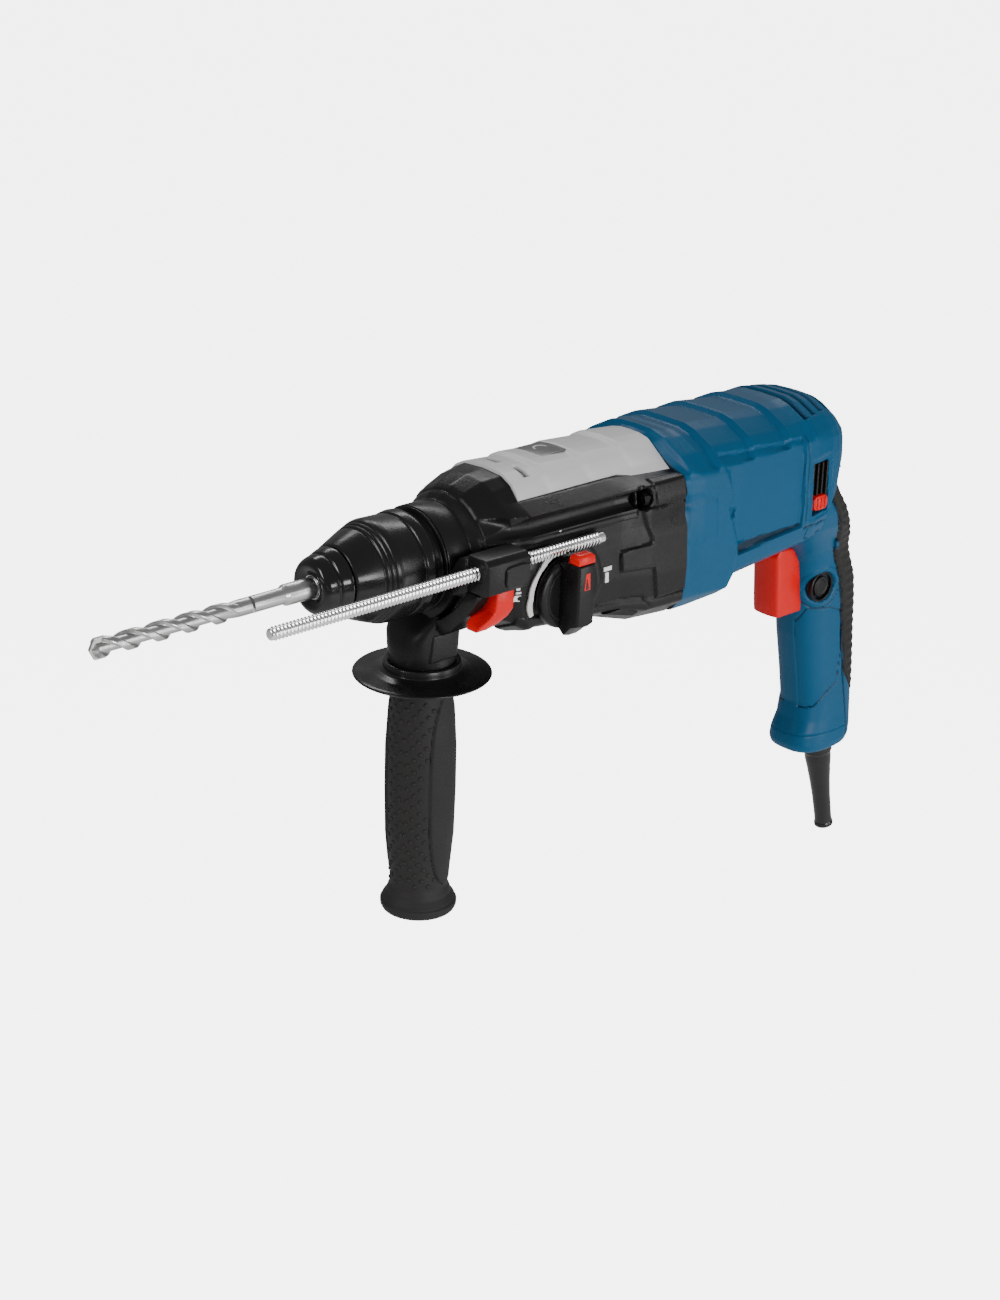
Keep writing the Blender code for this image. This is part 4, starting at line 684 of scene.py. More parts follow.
GEAR_KEYS = [
    (73.8, [(0, 25.6), (8, 24.3), (14.5, 21.1), (18.1, 18.1), (18.2, 18.0), (22.6, 12), (24.3, 8),
            (25.1, 4.5),
            (25.5, 0), (25.4, -3), (23.6, -10), (18.1, -18.1), (11, -23.1), (0, -25.6)]),
    (76.5, [(0, 28.0), (8.8, 26.6), (15.8, 23.1), (19.8, 19.8), (19.9, 19.7), (24.8, 13), (26.6, 8.6),
            (27.5, 4.9), (28, 0), (27.8, -3.3), (25.8, -11), (19.8, -19.8), (12, -25.3), (0, -28)]),
    (82.0, [(0, 31.3), (9.6, 29.8), (17.2, 26.1), (22.0, 22.3), (22.1, 22.2), (28.0, 14.8), (29.7, 9.8),
            (30.7, 5.6), (31.3, 0), (31.1, -3.6), (29.0, -12), (22.4, -22.4), (13, -28.6), (0, -31.3)]),
    (92.0, [(0, 34.8), (10.8, 33.6), (18.2, 30.3), (23.8, 25.6), (23.9, 25.5), (32.2, 18.6), (34.0, 12.4),
            (34.6, 7.0), (34.8, 1.5), (35.6, -3.6), (35.4, -16), (28.5, -30), (16, -36), (0, -37.4)]),
    (101.8, [(0, 35.9), (12.6, 35.0), (18.8, 31.9), (24.4, 25.6), (24.6, 25.5), (35.0, 20.4), (36.4, 13),
             (36.9, 8), (37.2, 1.5), (38.4, -3.6), (38.8, -19), (33.5, -34.5), (19, -39.8), (0, -40.6)]),
    (102.1, [(0, 33.6), (12.6, 32.7), (18.6, 29.6), (23.6, 24.6), (24.6, 25.5), (35.0, 20.4), (36.4, 13),
             (36.9, 8), (37.2, 1.5), (38.4, -3.6), (38.8, -19), (33.5, -34.5), (19, -39.8), (0, -40.6)]),
    (130.0, [(0, 33.7), (13, 32.8), (18.8, 29.7), (23.8, 24.6), (24.8, 25.3), (35.6, 20.4), (36.9, 13),
             (37.3, 8), (37.6, 1.5), (39.2, -3.6), (40.0, -20), (37.0, -34.5), (21, -42.4), (0, -43)]),
    (158.0, [(0, 33.7), (13, 32.8), (18.8, 29.7), (23.8, 24.6), (24.8, 25.3), (36.2, 20.4), (37.4, 13),
             (37.8, 8), (38.1, 1.5), (39.6, -3.6), (40.2, -21), (37.6, -37.0), (21, -45.8), (0, -46.5)]),
    (176.0, [(0, 33.7), (13, 32.8), (18.8, 29.7), (23.8, 24.6), (26.0, 24.2), (37.4, 20.8), (38.8, 13),
             (39.0, 8), (39.0, 1.5), (40.4, -3.6), (41.1, -23), (40.0, -41.0), (26, -50.2), (0, -50.8)]),
    (199.7, [(0, 33.5), (12.5, 32.0), (18.4, 27.6), (22.6, 24.4), (26.4, 23.3), (37.4, 21.0), (39.4, 14),
             (38.6, 8), (38.6, 2.5), (40.8, -3.6), (41.8, -24), (40.8, -41.2), (29, -50.6), (0, -51.4)]),
]

RIB_STEPS = (222.0, 251.0, 277.5)
SLOT_XS = (298.5, 306.4, 314.3, 322.2)


def finger_ribs(x, first, pitch, height, rise=2.6):
    """Low saw-tooth steps along the top of a casing."""
    phase = np.mod(x - first, pitch)
    return height * np.where(phase < rise, phase / rise, 1 - (phase - rise) / (pitch - rise))


WINDOW = [(296.6, 8.0), (309.6, 8.4), (311.8, -19.4), (298.4, -19.8)]
LEVER_X, LEVER_Z = 304.6, -14.2
# Wedge groove under the side panel; it also carries a painted shadow below the panel's lower edge.
LIP = [(239.2, -23.0), (246.0, -21.6), (289.0, -22.4), (289.4, -23.6), (240.4, -27.4)]


def build_motor_shell():
    """Blue motor housing: ribs and facets on top, sunk side panels, lever window and vent slots."""
    xs = np.unique(np.round(np.concatenate([
        np.linspace(200.3, 334.8, 222), [200.9, 201.6, 326.2, 326.8]]), 3))
    rings = casing_rings(BLUE_KEYS, xs, 0.74)
    x, y, z = np.moveaxis(rings, 2, 0)
    top = smoothstep(z, 20.0, 23.0)
    offset = finger_ribs(x, RIB_STEPS[0], 27.7, 2.3) * top * smoothstep(x, 212, 216) * (x < 298)
    offset -= 1.4 * top * smoothstep(x, 204, 212) * (1 - smoothstep(x, 288, 300))
    offset += 1.5 * smoothstep(x, 203, 204.6) * (1 - smoothstep(x, 206, 222)) * top
    offset += top * 0.9 * smoothstep(x, 296.5, 298.5) * (1 - smoothstep(x, 322, 330))
    painted_shade = np.zeros_like(x)
    side = np.abs(y) > 24
    body = side & (z < 27)
    sheet = panel(x, z, [(226, 26.5), (288.5, 23.5), (289.5, -22.5), (239.5, -21.5), (234.5, -8), (233, 8)],
                  -1.5,
                  1.0)
    lip = panel(x, z, LIP, -2.2, 0.7)
    # Painted shadow: the wedge under the panel is darkened as the shadow below its lower edge.
    painted_shade += side * 0.85 * smoothstep(inside(x, z, LIP), -0.5, 0.4)
    tile = panel(x, z, [(196, 7.0), (221.5, 6.0), (222.5, -14), (196, -12)], 0.55, 0.5)
    band = panel(x, z, [(196, 20), (232, 18.5), (232, 9.5), (196, 11.5)], 0.45, 0.5)
    notch = panel(x, z, [(231.2, -1.0), (237.2, -2.6), (236.2, -6.8), (233.2, -6.2)], -1.5, 0.7)
    border = line(x, z, [(291.2, 24), (292.2, -22.0)], 0.5, 0.45)
    split = line(x, z, [(291.5, -25.0), (318, -26.0), (320.5, -29.5), (333.5, -27.0)], 0.8, 0.55)
    hook = line(x, z, [(296, -25.2), (294.4, -31.5), (299, -33.4), (316, -29.5)], 0.6, 0.5)
    offset += body * (sheet + lip + tile + band + notch + border + split + hook)
    # Painted shade: the seam, hook and border grooves are darkened as shade in them.
    painted_shade += body * np.clip(-(split + hook) * 1.1 - border * 0.8, 0, 1)
    # Painted shade: the front rim, where the blue casing meets the gear casing, is darkened.
    painted_shade += 0.9 * (x < 200.8)
    window = (y < 0) * panel(x, z, WINDOW, 1.0, 0.5)
    frame_edge = (y < 0) * panel(x, z, [(294.2, 10.5), (314.2, 11.5), (315.6, -21.6), (296.0, -22.4)], -0.8,
                                 1.0)
    right = (y > 0) * panel(x, z, WINDOW, 1.0, 0.5)
    bars = 0.5 + 0.5 * np.cos(2 * np.pi * (x - LEVER_X) / 3.6)
    offset += side * (frame_edge - 5.2 * window - 2.2 * right * smoothstep(bars, 0.25, 0.5))
    # Painted shade: the lever window and the gaps between its bars are darkened as shade.
    painted_shade += side * (window + 0.95 * right * smoothstep(bars, 0.25, 0.5))
    for n, at in enumerate(SLOT_XS):
        wide = 1 - smoothstep(np.abs(x - at), 1.25, 2.0)
        reach = (1 - smoothstep(np.abs(y), 28.5 - 2.4 * n, 30.0 - 2.4 * n)) * (z > 15)
        offset -= 4.0 * wide * reach
        # Painted shade inside the vent slots.
        painted_shade += wide * reach
    piece = shell_piece("motor_casing", rings, offset, painted_shade)
    return finish_piece(piece, "tool_body", paint_of("casing"), ("motor_housing",))


def build_gear_shell():
    """Black gear housing: shoulder, capsule channel, screw hole and raised frames."""
    xs = np.unique(np.round(np.concatenate([
        np.linspace(73.8, 101.8, 44), [102.1, 102.6], np.linspace(103.2, 199.7, 148)]), 3))
    rings = casing_rings(GEAR_KEYS, xs, 0.72)
    x, y, z = np.moveaxis(rings, 2, 0)
    side = np.abs(y) > 18
    painted_shade = np.zeros_like(x)
    height = np.clip(1 - ((z - 16.2) / 4.4) ** 2, 0, 1) ** 0.5
    run = smoothstep(x, 76, 92) * (1 - smoothstep(x, 169.5, 172.0))
    offset = side * -4.3 * height * run * (z > 10)
    hole = inside(x, z, [(172.6 + 5.6 * math.cos(a), 15.6 + 5.4 * math.sin(a))
                         for a in np.linspace(0, 2 * np.pi, 20, endpoint=False)])
    hole_in = smoothstep(hole, -0.4, 0.6)
    offset += side * (z > 4) * -5.0 * hole_in
    # Painted shade inside the screw hole.
    painted_shade += side * (z > 4) * hole_in
    left = side & (z < 24)
    frame_up = panel(x, z, [(170.8, 10.5), (202, 10.0), (202, -36), (181.2, -36), (178.0, -19.5),
                            (156.5, -17.5),
                            (156.0, -7.2), (177.0, -6.6)], 1.7, 1.0)
    top_block = panel(x, z, [(179.5, 22.5), (202, 22.0), (202, 9.5), (181.0, 9.8)], 1.0, 0.8)
    step = line(x, z, [(180.0, 9.9), (200, 9.4)], 0.7, 0.5)
    low_edge = panel(x, z, [(96, -28.5), (143, -33.0), (176, -36.5), (202, -37.5), (202, -52), (96, -52)],
                     0.9, 1.6)
    crease = line(x, z, [(143, -31.5), (172, -33.5), (178, -39)], 0.6, 0.6)
    ledge = panel(x, z, [(78, 11.0), (168, 10.2), (168, 7.6), (78, 8.4)], 0.7, 0.8)
    offset += left * (frame_up + top_block + step + low_edge + crease + ledge)
    dial = np.hypot(x - KNOB_X, z - KNOB_Z)
    offset += (y < 0) * left * (-0.5 * (1 - smoothstep(dial, 20.6, 21.2)) + 1.1 * smoothstep(dial, 26.0,
                                                                                             24.2)
                                * smoothstep(dial, 21.2, 22.0) * 0.35)
    # Painted shade in the step and crease grooves.
    painted_shade += left * np.clip(-(step + crease) * 0.7, 0, 1)
    offset += hoop(x, 78.5, 0.8, 0.8)
    piece = shell_piece("gear_casing", rings, offset, painted_shade)
    finish_piece(piece, "tool_body", paint_of("body"), ("gear_housing",))
    neck = turned("neck_collar", [(48.4, 15.6), (48.4, 22.2), (58.5, 22.2), (58.5, 25.0), (59.3, 25.1),
                                  (60.0, 24.4),
                                  (72.6, 24.4), (73.0, 25.2), (75.2, 26.2), (75.7, 25.4), (76.1, 25.4),
                                  (76.6, 27.4), (79.0, 28.9), (79.0, 15.6), (48.4, 15.6)], around=128,
                  soften=0.35)
    finish_piece(neck, "tool_body", paint_of("body"))
    foot = joined("housing_foot", [slab([(148, -38.0), (168, -43.5), (172.5, -42.5), (165, -37.5)], -38.6,
                                        -30.0)])
    bevelled(foot, 0.8)
    return finish_piece(foot, "tool_body", paint_of("body"))


COVER_STEPS = 10
CLIP_SLOTS = ((112.8, 5.2), (114.7, -11.5))


def build_top_cover():
    """Light cover over the gear housing, with its steps, clip slots and a plain plate."""
    xs = np.linspace(102.3, 199.7, 150)
    edge_x, edge_y, edge_z = (100, 167, 177, 200), (24.4, 24.4, 27.2, 28.6), (25.7, 25.7, 23.6, 22.7)
    rings = []
    for x in xs:
        last = (np.interp(x, edge_x, edge_y), np.interp(x, edge_x, edge_z))
        drop = np.interp(x, (100, 176, 200), (0, 0, 1.0))
        key = [(0, 35.9), (6.5, 35.7), (12.8, 34.9 - drop * 0.5), (18.8, 31.8 - drop * 2.0), last]
        fine = []
        for a, b in zip(key, key[1:]):
            fine += [(a[0] + (b[0] - a[0]) * k / COVER_STEPS, a[1] + (b[1] - a[1]) * k / COVER_STEPS)
                     for k in range(COVER_STEPS)]
        fine = np.array(fine + [key[-1]])
        for _ in range(3):
            fine[1:-1] = (fine[:-2] + 2 * fine[1:-1] + fine[2:]) / 4
        outer = np.concatenate([fine[1:][::-1] * [-1, 1], fine])
        rings.append(outer)
    outer = np.array(rings)
    x = np.repeat(xs[:, None], outer.shape[1], 1)
    y, z = outer[..., 0], outer[..., 1]
    lift = finger_ribs(x, 95.0, 27.0, 1.5)
    lift = lift * (np.abs(y) < 24) * smoothstep(25 - np.abs(y), 0, 4)
    painted_shade = np.zeros_like(x)
    for at_x, at_y in CLIP_SLOTS:
        hole = inside(x, y, [(at_x - 2.0, at_y - 5.0), (at_x + 1.6, at_y - 5.0), (at_x + 1.6, at_y + 4.2),
                             (at_x - 2.0, at_y + 4.2)])
        cut = smoothstep(hole, -0.3, 0.5)
        lift -= 2.6 * cut
        # Painted shade inside the clip slots.
        painted_shade += cut
    normal = np.stack([np.zeros_like(x), np.gradient(z, axis=1) * -1, np.gradient(y, axis=1)], -1)
    normal /= np.linalg.norm(normal, axis=2, keepdims=True)
    skin = np.stack([x, y, z], -1)
    upper = skin + normal * lift[..., None]
    lower = skin - normal * 1.9
    loop = np.concatenate([upper, lower[:, ::-1]], 1)
    verts, faces = loft(loop)
    mesh = bpy.data.meshes.new("gear_cover")
    mesh.from_pydata(world(verts).tolist(), [], faces)
    piece = placed("gear_cover", mesh)
    painted_shade_attribute(piece, np.concatenate([np.clip(painted_shade, 0, 1), painted_shade * 0], 1).reshape(-1))
    outward(mesh)
    shaded(mesh)
    finish_piece(piece, "tool_body", paint_of("cover"), ("top_cover",))
    grid = []
    for dz, inset in ((0.0, 0.0), (0.55, 0.0), (0.7, 0.4)):
        ys = np.linspace(-6.0 + inset, 13.0 - inset, 14)
        surface = np.interp(np.abs(ys), (0, 6.5, 12.8, 18.8), (35.9, 35.7, 34.9, 31.8)) + 0.35
        low_side = [(133.5 + inset, v, s + dz) for v, s in zip(ys, surface)]
        high_side = [(152.0 - inset, v, s + dz) for v, s in zip(ys[::-1], surface[::-1])]
        grid.append(low_side + high_side)
    count = len(ys)
    verts, faces = loft(grid, capped=False)
    bottom, lid = 0, 2 * 2 * count
    for k in range(count - 1):
        faces.append([lid + k, lid + k + 1, lid + 2 * count - 2 - k, lid + 2 * count - 1 - k])
        faces.append([bottom + k + 1, bottom + k, bottom + 2 * count - 1 - k, bottom + 2 * count - 2 - k])
    plate = make_piece("cover_plate", verts, faces)
    finish_piece(plate, "tool_body", paint_of("label"))
    ring = turned("cover_plate_ring", [(36.6, 3.0), (36.6, 4.2), (36.85, 4.1), (36.85, 3.1), (36.6, 3.0)],
                  (142.7, 3.4, 0.0), "Z", 40, 0.05)
    return finish_piece(ring, "tool_body", paint_of("cover"))


# ---------------------------------------------------------------- main grip

GRIP_KEYS = [
    # z, front, back, half width, squareness of its corners
    (6.0, 296.0, 325.0, 32.0, 0.60),
    (-8.0, 294.0, 331.5, 33.0, 0.62),
    (-17.0, 294.0, 337.5, 33.2, 0.64),
    (-26.0, 297.0, 345.0, 32.5, 0.64),
    (-35.0, 302.0, 351.4, 30.0, 0.64),
    (-42.0, 309.0, 356.6, 26.0, 0.66),
    (-48.0, 316.0, 359.8, 22.4, 0.62),
    (-54.0, 321.5, 362.6, 19.4, 0.68),
    (-60.0, 325.0, 365.6, 17.9, 0.72),
    (-76.0, 327.5, 373.2, 16.9, 0.74),
    (-90.0, 328.8, 375.6, 16.4, 0.74),
    (-105.0, 330.5, 376.8, 16.0, 0.74),
    (-130.0, 335.5, 378.8, 15.8, 0.74),
    (-148.0, 338.6, 379.8, 15.6, 0.74),
    (-158.0, 337.2, 380.4, 15.9, 0.74),
    (-166.0, 333.6, 380.4, 16.9, 0.74),
    (-171.5, 333.2, 379.6, 17.3, 0.74),
    (-175.0, 334.6, 377.6, 16.6, 0.74),
    (-176.4, 337.2, 374.6, 15.0, 0.74),
]
LOCK_X, LOCK_Z = 339.0, -75.5


def grip_rings(zs, around, inset=0.0):
    """Rings of the main grip at some heights."""
    keys = np.array(sorted(GRIP_KEYS), float)
    angles = np.linspace(0, 2 * np.pi, around, endpoint=False)
    rings = []
    for z in zs:
        front, back, half, power = (np.interp(z, keys[:, 0], keys[:, k]) for k in range(1, 5))
        c, s = np.cos(angles), np.sin(angles)
        reach = (back - front) / 2 - inset
        rings.append(np.stack([(front + back) / 2 + reach * np.sign(c) * np.abs(c) ** power,
                               (half - inset) * np.sign(s) * np.abs(s) ** power, np.full(around, z)], -1))
    rings = np.array(rings)
    for _ in range(2):
        rings[1:-1] = (rings[:-2] + 2 * rings[1:-1] + rings[2:]) / 4
    for _ in range(3):
        rings = (np.roll(rings, 1, 1) + 2 * rings + np.roll(rings, -1, 1)) / 4
    return rings


def grip_back(z):
    keys = np.array(sorted(GRIP_KEYS), float)
    return np.interp(z, keys[:, 0], keys[:, 2])


def seam_x(z):
    """Where the joint between the front and rear grip shells runs."""
    return grip_back(z) - np.interp(z, (-176, -150, -132, -84, -44, -8, 6),
                                    (9.0, 13.0, 16.2, 20.0, 20.6, 16.0, 9.0))


def pad_x(z):
    """Front edge of the soft skin on the grip's back."""
    depth = np.interp(z, (-148, -146, -132, -84, -44, -8, 6), (0.0, 5.0, 14.6, 18.8, 19.4, 14.6, 8.0))
    return grip_back(z) - depth


def clipped_grip(name, rings, offset, keep, thickness, painted_shade):
    """A shell cut from the grip's skin where keep is true, given a wall so that it is closed."""
    moved = rings + ring_normals(rings) * offset[..., None]
    count, around = moved.shape[:2]
    index = np.arange(count * around).reshape(count, around)
    a, b = index[:-1], index[1:]
    quads = np.stack([a, np.roll(a, -1, 1), np.roll(b, -1, 1), b], -1).reshape(-1, 4)
    chosen = (keep[:-1] + np.roll(keep, -1, 1)[:-1] + keep[1:] + np.roll(keep, -1, 1)[1:]) >= 2
    quads = quads[chosen.reshape(-1)]
    used, inverse = np.unique(quads, return_inverse=True)
    mesh = bpy.data.meshes.new(name)
    mesh.from_pydata(world(moved.reshape(-1, 3)[used]).tolist(), [], inverse.reshape(-1, 4).tolist())
    piece = placed(name, mesh)
    painted_shade_attribute(piece, np.clip(painted_shade, 0, 1).reshape(-1)[used])
    bm = bmesh.new()
    bm.from_mesh(mesh)
    bmesh.ops.recalc_face_normals(bm, faces=bm.faces)
    centre = sum((f.calc_center_median() for f in bm.faces), Vector()) / len(bm.faces)
    out = sum((f.calc_center_median() - centre).dot(f.normal) for f in bm.faces)
    if out < 0:
        bmesh.ops.reverse_faces(bm, faces=bm.faces)
    bm.to_mesh(mesh)
    bm.free()
    wall = piece.modifiers.new("wall", 'SOLIDIFY')
    wall.thickness = thickness * MM
    wall.offset = -1.0
    wall.use_even_offset = False
    return settled(piece, 40)


def build_main_grip():
    """Front shell of the grip with its inlay and seams, the rear shell and the soft skin."""
    zs = np.concatenate([np.linspace(6.0, -60.0, 100), np.linspace(-60.6, -170.0, 170),
                         np.linspace(-170.6, -176.4, 12)])
    rings = grip_rings(zs, 220)
    x, y, z = np.moveaxis(rings, 2, 0)
    seam, pad = seam_x(z), pad_x(z)
    side = np.abs(y) > 5
    offset = np.zeros_like(x)
    painted_shade = np.zeros_like(x)
    inlay = [(329.6, -97.0), (332.0, -88.5), (346.5, -89.0), (357.5, -93.5), (359.8, -118.0),
             (358.2, -136.0),
             (350.5, -141.0), (343.5, -148.5), (338.6, -149.5), (336.2, -138.0), (331.6, -112.0)]
    closed_inlay = inlay + [inlay[0]]
    offset += side * panel(x, z, inlay, -0.45, 0.8)
    offset += side * line(x, z, closed_inlay, 0.5, 0.45)
    arc = [(LOCK_X + 12.6 * math.cos(a), LOCK_Z + 12.6 * math.sin(a)) for a in np.linspace(-2.6, -0.3, 14)]
    arc += [(353.5, -70.0), (352.0, -52.0), (346.5, -40.0), (335.0, -33.5)]
    curve = line(x, z, arc, 0.55, 0.45)
    offset += side * curve
    # Painted shade in the arc groove and round the inlay.
    painted_shade += side * np.clip(-curve * 1.3 - line(x, z, closed_inlay, 0.7, 0.4), 0, 1)
    dish = np.hypot(x - LOCK_X, z - LOCK_Z)
    offset += side * (-3.0 * (1 - smoothstep(dish, 7.8, 8.8)) + 0.5 * smoothstep(dish, 12.4, 10.6)
                      * smoothstep(dish, 9.0, 10.0))
    # Painted shade in the dish round the lock button.
    painted_shade += side * (1 - smoothstep(dish, 8.0, 8.7))
    gap = 1 - smoothstep(np.abs(x - seam), 0.25, 0.75)
    offset -= 0.7 * gap
    # Painted shade in the seam between the front and rear shells.
    painted_shade += gap * 0.9
    rim = 1 - smoothstep(np.abs(x - pad), 0.25, 0.8)
    offset -= 0.6 * rim * (z > -147)
    # Painted shade along the groove at the soft skin's front edge.
    painted_shade += rim * 0.9 * (z > -147)
    offset += hoop(z, -165.0, 0.35, 0.45)
    soft = (x > pad) & (z < 0.0) & (z > -146.0)
    rear = (x > seam) & ~soft & (z < -0.4)
    front = ~(x > seam) | (z >= -0.4) & (x < 338)
    mouth = (x < 324) & (np.abs(y) < 9.4) & (z < -50.2) & (z > -90.3)
    front &= ~mouth
    blue = paint_of("casing")
    shell = clipped_grip("grip_front_shell", rings, offset, front.astype(int), 2.0, painted_shade)
    finish_piece(shell, "tool_body", blue)
    shell = clipped_grip("grip_rear_shell", rings, offset, rear.astype(int), 1.6, painted_shade)
    finish_piece(shell, "tool_body", blue, ("handle_cover",))
    ribs = 0.22 * np.cos(2 * np.pi * z / 5.2) * smoothstep(x - pad, 1.5, 3.0) * (z < -20)
    skin = clipped_grip("grip_soft_skin", rings, offset + 0.35 * smoothstep(x - pad, 0.4, 1.6) + ribs,
                        soft.astype(int), 1.8, painted_shade * 0)
    finish_piece(skin, "tool_body", paint_of("soft"), ("soft_grip",))
    base = grip_rings([-176.4, -176.0], 220, 1.8)
    base[0, :, 2], base[1, :, 2] = -176.3, -172.0
    verts, faces = loft(base)
    sole = make_piece("grip_base_plate", verts, faces)
    finish_piece(sole, "tool_body", blue)
    folds = []
    for n in range(33):
        t = n / 32
        height = 8.5 - 9.0 * t
        grow = 1.1 * (0.5 - 0.5 * math.cos(4 * math.pi * t))
        ring = []
        for u in np.linspace(-1, 1, 41):
            across = 33.0 * u
            bulge = 6.8 * (1 - abs(u) ** 3.2)
            ring.append((323.0 + bulge + grow * (0.4 + 0.6 * (1 - u * u)) + 2.5 * t,
                         across * (1 - 0.02 * grow),
                         height))
        ring += [(320.4, 30.0 * u, height) for u in np.linspace(1, -1, 21)]
        folds.append(ring)
    verts, faces = loft(folds)
    bellows = make_piece("handle_bellows_folds", verts, faces, 60)
    return finish_piece(bellows, "tool_body", paint_of("soft"), ("handle_bellows",))


def build_controls():
    """Trigger, lock-on button, direction lever with its guide bars, and mode selector."""
    red, black = paint_of("controls"), paint_of("body")
    half = 8.9
    rings = []
    for z in np.linspace(-51.0, -89.6, 40):
        t = (z + 51.0) / -38.6
        front = 307.0 + 1.6 * math.sin(math.pi * t) * 0.8 + 3.6 * t ** 3 + (2.0 * (1 - smoothstep(t, 0.0,
                                                                                                  0.10)))
        ring = []
        for a in np.linspace(-0.5, 0.5, 25) * math.pi:
            ring.append((front + 3.4 * (1 - math.cos(a) ** 0.6), half * math.sin(a), z))
        ring += [(331.0, half, z), (331.0, 0, z), (331.0, -half, z)]
        rings.append(ring)
    verts, faces = loft(rings)
    trigger = make_piece("trigger_key", verts, faces, 50)
    bevelled(trigger, 0.9, 3, 50)
    finish_piece(trigger, "trigger_body", red, ("trigger",))
    dish = [(-15.3, 0.01), (-15.3, 3.4), (-15.0, 4.0), (-15.3, 5.2), (-14.9, 5.6), (-12.4, 5.6),
            (-12.4, 0.01)]
    button = turned("lock_cap", dish, (LOCK_X, 0, LOCK_Z), "Y", 64, 0.3)
    finish_piece(button, "lock", black, ("lock_button",))
    collar = turned("lock_ring", [(-15.6, 7.5), (-15.9, 8.1), (-15.4, 8.8), (-13.2, 8.8), (-13.2, 7.5),
                                  (-15.6, 7.5)],
                    (LOCK_X, 0, LOCK_Z), "Y", 64, 0.2)
    finish_piece(collar, "tool_body", black)
    pocket = joined("lever_pocket", [slab([(297.0, 7.8), (309.4, 8.2), (311.4, -19.2), (298.6, -19.6)],
                                          -35.6, -35.0)])
    finish_piece(pocket, "tool_body", black)
    lever_rings = []
    for y, grow in ((-33.6, 0.0), (-37.0, 0.0), (-38.3, -0.35), (-38.8, -1.2)):
        lever_rings.append([(LEVER_X + a, y, LEVER_Z + b)
                            for a, b in oval(28, 5.6 + grow, 4.2 + grow, 0.55, 0.7)])
    parts = [loft(lever_rings)]
    for k in range(3):
        at = 301.8 + 2.9 * k
        parts.append(slab([(at - 0.4, -11.2), (at + 0.4, -11.2), (at + 0.4, -17.2), (at - 0.4, -17.2)],
                          -39.2, -38.4))
    lever = joined("direction_lever_key", parts, 40)
    finish_piece(lever, "brush_gear", red)
    guide = grille("lever_guide_bars", (298.8, -36.6, -5.8), 4, 3.5, (1.1, 1.6, 26.0))
    finish_piece(guide, "tool_body", black)
    return build_selector(red, black)


